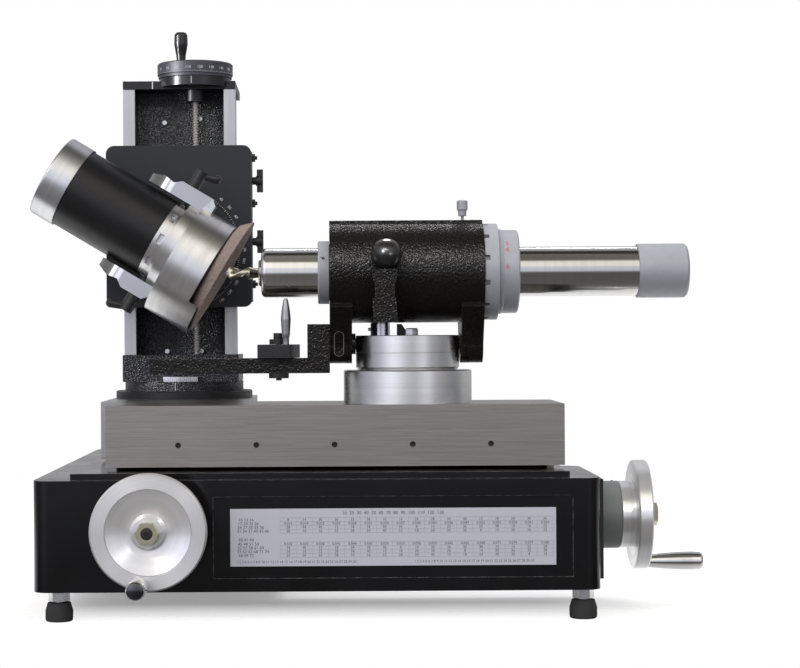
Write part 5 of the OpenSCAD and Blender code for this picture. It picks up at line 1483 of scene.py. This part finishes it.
@dataclass
class Column(SubAssembly):
    """Column with its ways, cap and vertical screw."""

    screw_x: float = 141.5
    screw_y: float = 303.0
    screw_foot: float = 254.0
    screw_top: float = 596.6
    screw_radius: float = 3.8
    thread_depth: float = 1.1
    pitch: float = 3.2
    web_y: float = 322.0
    axis_x: float = 124.0
    axis_y: float = 345.0
    plate_foot: float = 236.2
    plate_radius: float = 67.0
    plate_half: float = 17.0
    plate_steps: int = 24
    mark_low: float = 0.6
    mark_width: float = 0.35
    zero_turn: float = -4.6
    zero_high: float = 9.6
    zero_width: float = 0.8
    ring_foot: float = 225.2
    ring_radius: float = 69.0
    cap_y: float = 262.0
    seam_x: float = 95.8
    seam_z: float = 571.6
    dial_ring: float = 41.0
    web_screw_places: Tuple[Pair, ...] = ((104.5, 535.7), (106.0, 270.6), (145.7, 270.6), (145.7, 540.0))

    def build(self) -> None:
        """Dresses the column, and makes its screw, the web's small screws and the foot's scale."""
        self.dress(HAMMER_BLUE, "column_casting", bevel=0.9)
        self.dress(COLUMN_RAILS, "column_ways", bevel=0.4)
        self.dress(BLACK_MACHINED, "column_cap", bevel=0.4)
        centre = place(self.screw_x, self.screw_y, 0.0)

        def on_ring(middle: Vector, normal: Vector) -> bool:
            """Tells whether a face is on the round side of the ring under the dial."""
            arm = Vector((middle.x - centre.x, middle.y - centre.y, 0.0))
            return abs(arm.length - self.dial_ring * MM) < 0.6 * MM and normal.dot(arm.normalized()) > 0.95

        self.redress(BLACK_CHROME, "column_cap", on_ring)
        self._screw()
        self._web_screws()
        self._foot_scale()

    def _screw(self) -> None:
        """Makes the vertical screw with its thread."""
        steps, crest, root = 20, self.screw_radius, self.screw_radius - self.thread_depth
        shape = Shape()
        long = self.screw_top - self.screw_foot
        profile = ((0.0, root), (0.18, root), (0.42, crest), (0.62, crest), (0.86, root), (1.0, root))
        rows: List[List[bmesh.types.BMVert]] = []
        for i in range(int(long / self.pitch * steps) + 1):
            angle = 2.0 * math.pi * i / steps
            foot = self.screw_foot + i * self.pitch / steps
            row = []
            for share, radius in profile:
                across, back = radius * math.cos(angle), radius * math.sin(angle)
                high = min(foot + share * self.pitch, self.screw_top)
                row.append(shape.mesh.verts.new(place(self.screw_x + across, self.screw_y + back, high)))
            rows.append(row)
        for near, far in zip(rows, rows[1:]):
            for low in range(len(near) - 1):
                shape.mesh.faces.new([near[low], far[low], far[low + 1], near[low + 1]])
        core = root + 0.02
        foot_at = place(self.screw_x, self.screw_y, self.screw_foot)
        shape.lathe([(0.0, 0.0), (core, 0.0), (core, long), (0.0, long)], foot_at, UP, 24)
        made = shape.finished("vertical_screw", THREAD_STEEL, smooth=30.0)
        self.seat(made, "z_feed", "bright_steel", "z_leadscrew")

    def _web_screws(self) -> None:
        """Adds the bright screws that show in the column's front recess."""
        shape = Shape()
        profile = [(0.0, 1.9), (1.2, 1.9), (1.2, 2.9), (2.6, 2.9), (3.0, 2.4), (3.0, 0.0)]
        for x, z in self.web_screw_places:
            shape.lathe(profile, place(x, self.web_y + 0.3, z), -BACK, 24)
        self.seat(shape.finished("web_screws", BRIGHT_ZINC), "column", "bright_steel")

    def _foot_scale(self) -> None:
        """Adds the curved plate on the column's foot, the zero line under it and the cap's bright seam."""
        turn_at = place(self.axis_x, self.axis_y, self.plate_foot)
        inner, outer = self.plate_radius - 3.0, self.plate_radius
        corners = ((inner, 0.0), (outer, 0.0), (outer, 5.4), (outer - 0.8, 6.2), (inner, 6.2))
        rings = []
        for i in range(self.plate_steps + 1):
            angle = math.radians(self.plate_half * (2.0 * i / self.plate_steps - 1.0))
            out = RIGHT * math.sin(angle) - BACK * math.cos(angle)
            rings.append([turn_at + out * (radius * MM) + UP * (high * MM) for radius, high in corners])
        plate = Shape().skin(rings)
        self.seat(plate.finished("foot_scale", BRIGHT_ZINC), "column", "bright_steel")
        drum = Drum(turn_at, UP, -BACK, self.plate_radius)
        marks = Shape()
        for degree in range(-16, 17, 2):
            high = 4.4 if degree % 10 == 0 else 2.8
            drum.mark(marks, float(degree), self.mark_low, high, self.mark_width)
        self.seat(marks.finished("foot_scale_marks", PRINT_BLACK), "column", "dark_steel")
        side = Drum(place(self.axis_x, self.axis_y, self.ring_foot), UP, -BACK, self.ring_radius)
        line = Shape()
        side.mark(line, self.zero_turn, self.mark_low, self.zero_high, self.zero_width)
        seam = Face(place(self.seam_x, self.cap_y, self.seam_z), RIGHT, UP)
        seam.bar(line, -0.6, -4.0, 0.6, 4.0)
        self.seat(line.finished("column_lines", PRINT_WHITE), "column", "bright_steel")


@dataclass
class DepthDial(SubAssembly):
    """Graduated dial on the column, with its index line and turning knob."""

    radius: float = 43.3
    ring_radius: float = 41.0
    dial_foot: float = 583.6
    ring_foot: float = 573.1
    zero_turn: float = -7.0
    front_value: int = 110
    numbers: int = 20
    divisions: int = 200
    mark_low: float = 3.8
    mark_width: float = 0.22
    number_middle: float = 8.9
    number_height: float = 3.0
    index_turn: float = -2.5

    def build(self) -> None:
        """Dresses the dial, and lays its marks and figures."""
        self.dress(DIAL_ENAMEL, "z_dial", bevel=0.4)
        self.dress(BLACK_PLASTIC, "z_knob", bevel=0.0, angle=45.0)
        column = Column()
        centre = place(column.screw_x, column.screw_y, self.dial_foot)
        drum = Drum(centre, UP, -BACK, self.radius)
        marks = Shape()
        for i in range(self.divisions):
            turn = self.zero_turn + 360.0 * i / self.divisions
            high = 6.3 if i % 10 == 0 else 5.5 if i % 5 == 0 else 4.9
            drum.mark(marks, turn, self.mark_low, high, self.mark_width)
        for i in range(self.numbers):
            turn = self.zero_turn + 360.0 * i / self.numbers
            value = (self.front_value + i * self.divisions // self.numbers) % self.divisions
            drum.figures(marks, str(value), turn, self.number_middle, self.number_height)
        self.seat(marks.finished("dial_figures", PRINT_WHITE), "z_feed", "dial_enamel")
        ring = Drum(place(column.screw_x, column.screw_y, self.ring_foot), UP, -BACK, self.ring_radius)
        line = Shape()
        ring.mark(line, self.index_turn, 1.0, 9.4, 0.7)
        self.seat(line.finished("index_line", PRINT_WHITE), "column", "dial_enamel")


@dataclass
class VerticalSlide(SubAssembly):
    """Slide plate with its tilt scale, keepers and lock screws."""

    axis: Point = (124.0, 272.0, 385.7)
    inner: float = 65.6
    outer: float = 70.2
    thick: float = 0.5
    mark_width: float = 0.3
    label_radius: float = 75.0
    label_height: float = 3.0
    clear: float = 0.02

    def build(self) -> None:
        """Dresses the slide and makes the tilt scale."""
        self.dress(CHARCOAL, "z_plate", bevel=0.5)
        self.dress(BLACK_MACHINED, "z_keepers", bevel=0.3)
        self.dress(LEVER_PLASTIC, "z_lock_upper", "z_lock_lower", bevel=0.8)
        self._scale()

    def _scale(self) -> None:
        """Makes the ring round the tilting flange with its marks and figures."""
        centre = place(*self.axis)
        inner, outer, thick = self.inner, self.outer, self.thick
        profile = [(inner, 0.0), (inner, thick), (outer - 0.3, thick), (outer, thick - 0.3), (outer, 0.0)]
        ring = Shape().lathe(profile, centre, -BACK, 128)
        self.seat(ring.finished("tilt_ring", BLACK_MACHINED), "z_slide", "charcoal_paint")
        face = Face(centre - BACK * ((thick + self.clear) * MM), RIGHT, UP)
        marks = Shape()
        for degree in range(-60, 61, 2):
            start = outer - (3.2 if degree % 10 == 0 else 1.9)
            face.spoke(marks, float(degree), start, outer - 0.5, self.mark_width)
        flat = Face(centre - BACK * (self.clear * MM), RIGHT, UP)
        for degree in range(-50, 51, 10):
            angle = math.radians(degree)
            across, up = self.label_radius * math.cos(angle), self.label_radius * math.sin(angle)
            turn = degree - 90.0 if degree > 0 else degree + 90.0
            flat.figures(marks, str(90 - degree), across, up, self.label_height, turn)
        self.seat(marks.finished("tilt_figures", PRINT_WHITE), "z_slide", "charcoal_paint")


@dataclass
class GrindingHead(SubAssembly):
    """Tilting motor head with its cup wheel, guard and clamp levers."""

    tilt: float = 31.0
    ring_end: float = 7.2
    ring_edge: float = 1.0
    arm_length: float = 65.7
    arm_side: float = 50.0
    arm_facets: Tuple[Pair, ...] = ((-3.0, 0.0), (20.0, 11.0), (27.0, 12.5), (64.0, 12.5))
    axis: Point = (124.0, 190.0, 385.7)

    def build(self) -> None:
        """Dresses the head, and the arms of its guard apart."""
        angle = math.radians(self.tilt)
        along = Vector((math.cos(angle), 0.0, -math.sin(angle)))
        centre = place(*self.axis)
        self.dress(CHARCOAL, "tilt_bracket", bevel=0.5)
        self.dress(MOTOR_ENAMEL, "motor_body", bevel=0.3)
        cap = turned("motor_cap_turned", centre, along, (0.62, 0.63, 0.65), 0.33, anisotropy=0.6)
        self.dress(cap, "motor_cap", bevel=0.5)
        flange = turned("motor_flange_turned", centre, along, (0.64, 0.64, 0.65), 0.3, anisotropy=0.55)
        self.dress(flange, "motor_flange", bevel=0.3)
        guard = turned("guard_turned", centre, along, (0.66, 0.66, 0.67), 0.3, anisotropy=0.55)
        self.dress(guard, "wheel_guard", bevel=0.5)
        start = self.ring_end - self.arm_length
        # The arms' finish paints shade on their end facets and a highlight on their first ridge.
        arms = Milled(
            "milled_aluminium", (0.5, 0.51, 0.54), roughness=0.25, stretch=even(40.0), contrast=0.04,
            centre=tuple(centre), along=tuple(along),
            facets=tuple((start + reach, rise) for reach, rise in self.arm_facets),
        )
        side = Vector((along.z, 0.0, -along.x))

        def on_arm(middle: Vector, normal: Vector) -> bool:
            """Tells whether a face is on one of the two arms."""
            arm = middle - centre
            before = arm.dot(along) < (self.ring_end - self.ring_edge) * MM
            return before and abs(arm.dot(side)) > self.arm_side * MM

        self.redress(arms, "wheel_guard", on_arm)
        self.dress(turned("shaft_turned", centre, along, (0.45, 0.45, 0.45), 0.3), "motor_shaft", bevel=0.3)
        self.dress(PINK_GRIT, "grinding_wheel", bevel=0.4)
        self.dress(LEVER_PLASTIC, "guard_lever_upper", "guard_lever_lower", bevel=0.4, angle=42.0)


@dataclass(frozen=True)
class Lamp:
    """A soft light, which paint takes everywhere, or which only the gloss of some solids mirrors."""

    name: str
    at: Point
    aim: Point
    size: Pair
    power: float
    takers: Tuple[str, ...] = ()

    def hang(self) -> None:
        """Hangs the lamp, and ties it to the solids that mirror it."""
        data = bpy.data.lights.new(self.name, "AREA")
        data.shape = "RECTANGLE"
        data.size, data.size_y = self.size
        data.energy = self.power
        lamp = bpy.data.objects.new(self.name, data)
        lamp.location = self.at
        lamp.rotation_euler = (Vector(self.aim) - Vector(self.at)).to_track_quat("-Z", "Y").to_euler()
        lamp.visible_glossy = bool(self.takers)
        lamp.visible_diffuse = not self.takers
        if self.takers:
            group = bpy.data.collections.new(f"{self.name}_takers")
            for node in self.takers:
                group.objects.link(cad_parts[node])
            lamp.light_linking.receiver_collection = group
        bpy.context.scene.collection.objects.link(lamp)


FRONT_OF_MACHINE = (0.0, 0.0, 0.3)
WORK_HEAD = (0.05, -0.1, 0.35)
FRONT_WHEEL = (-0.1, -0.25, 0.1)
KNOB = ("ball_knob",)
WHEELS = ("x_handwheel", "y_handwheel")
BLACK_CASTINGS = ("ball_knob", "workhead_body", "rest_bar", "column_casting")
TOWER = ("column_cap", "z_dial", "z_knob", "column_casting")
LAMPS = (
    Lamp("top_fill", (0.0, -0.1, 2.0), (0.0, 0.05, 0.2), (2.2, 1.8), 34.0),
    Lamp("front_fill", (-0.7, -2.4, 1.2), FRONT_OF_MACHINE, (1.8, 1.2), 15.0),
    Lamp("rear_strip", (0.1, 1.3, 1.7), WORK_HEAD, (1.6, 0.06), 6.0, ("spindle_tube", "workhead_body")),
    Lamp("front_strip", (-0.3, -1.9, 1.45), FRONT_OF_MACHINE, (1.3, 0.04), 30.0, BLACK_CASTINGS),
    Lamp("wheel_lamp", (-1.1, -1.8, 1.3), FRONT_WHEEL, (0.16, 0.16), 10.0, WHEELS),
    Lamp("wheel_low_lamp", (0.7, -2.0, 0.9), FRONT_WHEEL, (0.16, 0.16), 6.0, WHEELS),
    Lamp("left_lamp", (-0.8, -1.85, 1.03), WORK_HEAD, (0.12, 0.12), 40.0, KNOB),
    Lamp("right_lamp", (1.0, -1.95, 0.4), WORK_HEAD, (0.08, 0.08), 8.0, KNOB),
    Lamp("knob_lamp", (0.1, 1.0, 1.9), WORK_HEAD, (0.5, 0.12), 40.0, KNOB),
    Lamp("side_strip", (-1.5, -0.75, 0.7), (-0.235, 0.07, 0.6), (0.25, 0.8), 38.0, TOWER),
)


@dataclass
class Studio:
    """Pale floor, soft lights and the photograph's camera."""

    eye: Point = (296.0, -2000.0, 286.0)
    lens: float = 90.0
    shift: Pair = (0.08625, 0.00375)
    roll: float = 0.35
    floor_reach: float = 3.0
    floor_front: float = -0.15
    floor_fade: float = 0.13
    floor_dim: Pair = (0.9, 2.2)
    floor_glow: float = 0.3
    strength: float = 2.5
    front_bands: Bands = (
        (-90.0, even(0.12)), (-12.0, (0.1, 0.095, 0.09)), (-6.0, even(0.1)), (0.0, (0.62, 0.63, 0.72)),
        (18.0, (0.68, 0.69, 0.78)), (23.0, (1.0, 0.96, 0.88)), (44.0, (0.96, 0.92, 0.84)),
        (51.0, (0.15, 0.14, 0.12)), (90.0, (0.13, 0.125, 0.11)),
    )
    rear_bands: Bands = (
        (-90.0, even(0.12)), (-5.0, even(0.3)), (3.0, (0.55, 0.55, 0.57)), (66.0, (0.62, 0.62, 0.66)),
        (75.0, (0.14, 0.13, 0.11)), (90.0, (0.13, 0.125, 0.11)),
    )
    round_bands: Bands = (
        (-180.0, even(0.1)), (-131.0, even(0.06)), (-95.0, (0.25, 0.25, 0.26)), (-66.0, (0.5, 0.5, 0.51)),
        (-40.0, (0.98, 0.98, 1.0)), (-27.0, even(1.0)), (-8.0, (0.64, 0.64, 0.63)),
        (10.0, (0.48, 0.48, 0.47)), (30.0, (0.74, 0.73, 0.72)), (37.0, (0.72, 0.71, 0.7)),
        (50.0, (0.42, 0.41, 0.4)), (79.0, (0.25, 0.25, 0.24)), (131.0, even(0.06)), (180.0, even(0.1)),
    )

    def build(self) -> None:
        """Makes the floor, the lights, the surroundings and the camera."""
        self._floor()
        for lamp in LAMPS:
            lamp.hang()
        self._surroundings()
        self._camera()

    def _floor(self) -> None:
        """Makes the pale floor, which fades into the white background."""
        mesh = bmesh.new()
        bmesh.ops.create_circle(mesh, cap_ends=True, segments=96, radius=self.floor_reach)
        data = bpy.data.meshes.new("floor")
        mesh.to_mesh(data)
        mesh.free()
        floor = bpy.data.objects.new("floor", data)
        bpy.context.scene.collection.objects.link(floor)
        paint = bpy.data.materials.new("floor_white")
        paint.use_nodes = True
        w = Wiring(paint.node_tree)
        shader = paint.node_tree.nodes["Principled BSDF"]
        w.join(0.65, shader.inputs["Roughness"])
        w.join(even(1.0), shader.inputs["Emission Color"])
        w.join(self.floor_glow, shader.inputs["Emission Strength"])
        spot = w.spot()
        cloud = w.noise(spot, Scale=3.0, Detail=3.0)
        w.join(w.blend(cloud, even(0.88), even(0.91)), shader.inputs["Base Color"])
        near = BASE_CORNER.y - self.floor_front
        kept = w.mask(w.numbers(spot)[1], near - self.floor_fade, near)
        lit = w.spread(w.vector("LENGTH", spot), *self.floor_dim, 1.0, 0.0)
        w.join(w.maths("MULTIPLY", kept, lit), shader.inputs["Alpha"])
        data.materials.append(paint)


    def _surroundings(self) -> None:
        """Makes the white background, and the soft boxes and dark room that bare metal mirrors."""
        world = bpy.data.worlds.new("studio")
        bpy.context.scene.world = world
        world.use_nodes = True
        w = Wiring(world.node_tree)
        background = world.node_tree.nodes["Background"]
        x, y, z = w.numbers(w.add("ShaderNodeTexCoord").outputs["Generated"])
        ahead = w.maths("MULTIPLY", y, -1.0)
        across = w.maths("DEGREES", w.maths("ARCTAN2", x, ahead))
        high = w.maths("DEGREES", w.maths("ARCSINE", z))
        front = self._ramp(w, high, self.front_bands)
        rear = self._ramp(w, high, self.rear_bands)
        round_about = self._ramp(w, across, self.round_bands)
        lit = w.scaled(w.vector("MULTIPLY", front, round_about), self.strength)
        room = w.blend(w.mask(ahead, -0.1, -0.45), lit, rear)
        seen = w.add("ShaderNodeLightPath").outputs["Is Camera Ray"]
        w.join(w.blend(seen, room, even(1.0)), background.inputs["Color"])

    def _ramp(self, w: Wiring, value: Socket, bands: Bands) -> Socket:
        """Gives the room's brightness along one angle.

        Args:
            w: The wiring of the surroundings.
            value: The angle in degrees.
            bands: Angle and brightness of each stop, from the least angle to the greatest.

        Returns:
            The brightness.
        """
        ramp = w.add("ShaderNodeValToRGB")
        low, high = bands[0][0], bands[-1][0]
        w.join(w.mask(value, low, high), ramp.inputs[0])
        stops = ramp.color_ramp.elements
        while len(stops) < len(bands):
            stops.new(0.5)
        for stop, (angle, shade) in zip(stops, bands):
            stop.position = (angle - low) / (high - low)
            stop.color = (*shade, 1.0)
        return ramp.outputs[0]

    def _camera(self) -> None:
        """Puts the camera where the photograph was taken from."""
        scene = bpy.context.scene
        scene.view_settings.view_transform = "Standard"
        data = bpy.data.cameras.new("camera")
        data.lens, data.sensor_width = self.lens, 36.0
        data.shift_x, data.shift_y = self.shift
        camera = bpy.data.objects.new("camera", data)
        camera.location = place(*self.eye)
        camera.rotation_euler = (math.radians(90.0), math.radians(self.roll), 0.0)
        scene.collection.objects.link(camera)
        scene.camera = camera


def main() -> None:
    """Builds every sub-assembly in turn."""
    logging.basicConfig(level=logging.INFO, format="%(name)s: %(message)s")
    Studio().build()
    parts: List[SubAssembly] = [
        Base(),
        FeedDrive(letter="x", origin=place(566.0, 112.0, 97.0), out=RIGHT.copy()),
        FeedDrive(letter="y", origin=place(117.0, 0.0, 97.0), out=-BACK),
        CrossTable(),
        WorkHead(),
        WorkSpindle(),
        ToothRest(),
        ColumnSlide(),
        Column(),
        DepthDial(),
        VerticalSlide(),
        GrindingHead(),
    ]
    for part in parts:
        part.build()
        log.info("%s: %s", type(part).__name__, ", ".join(part.pieces))


if __name__ == "__main__":
    main()
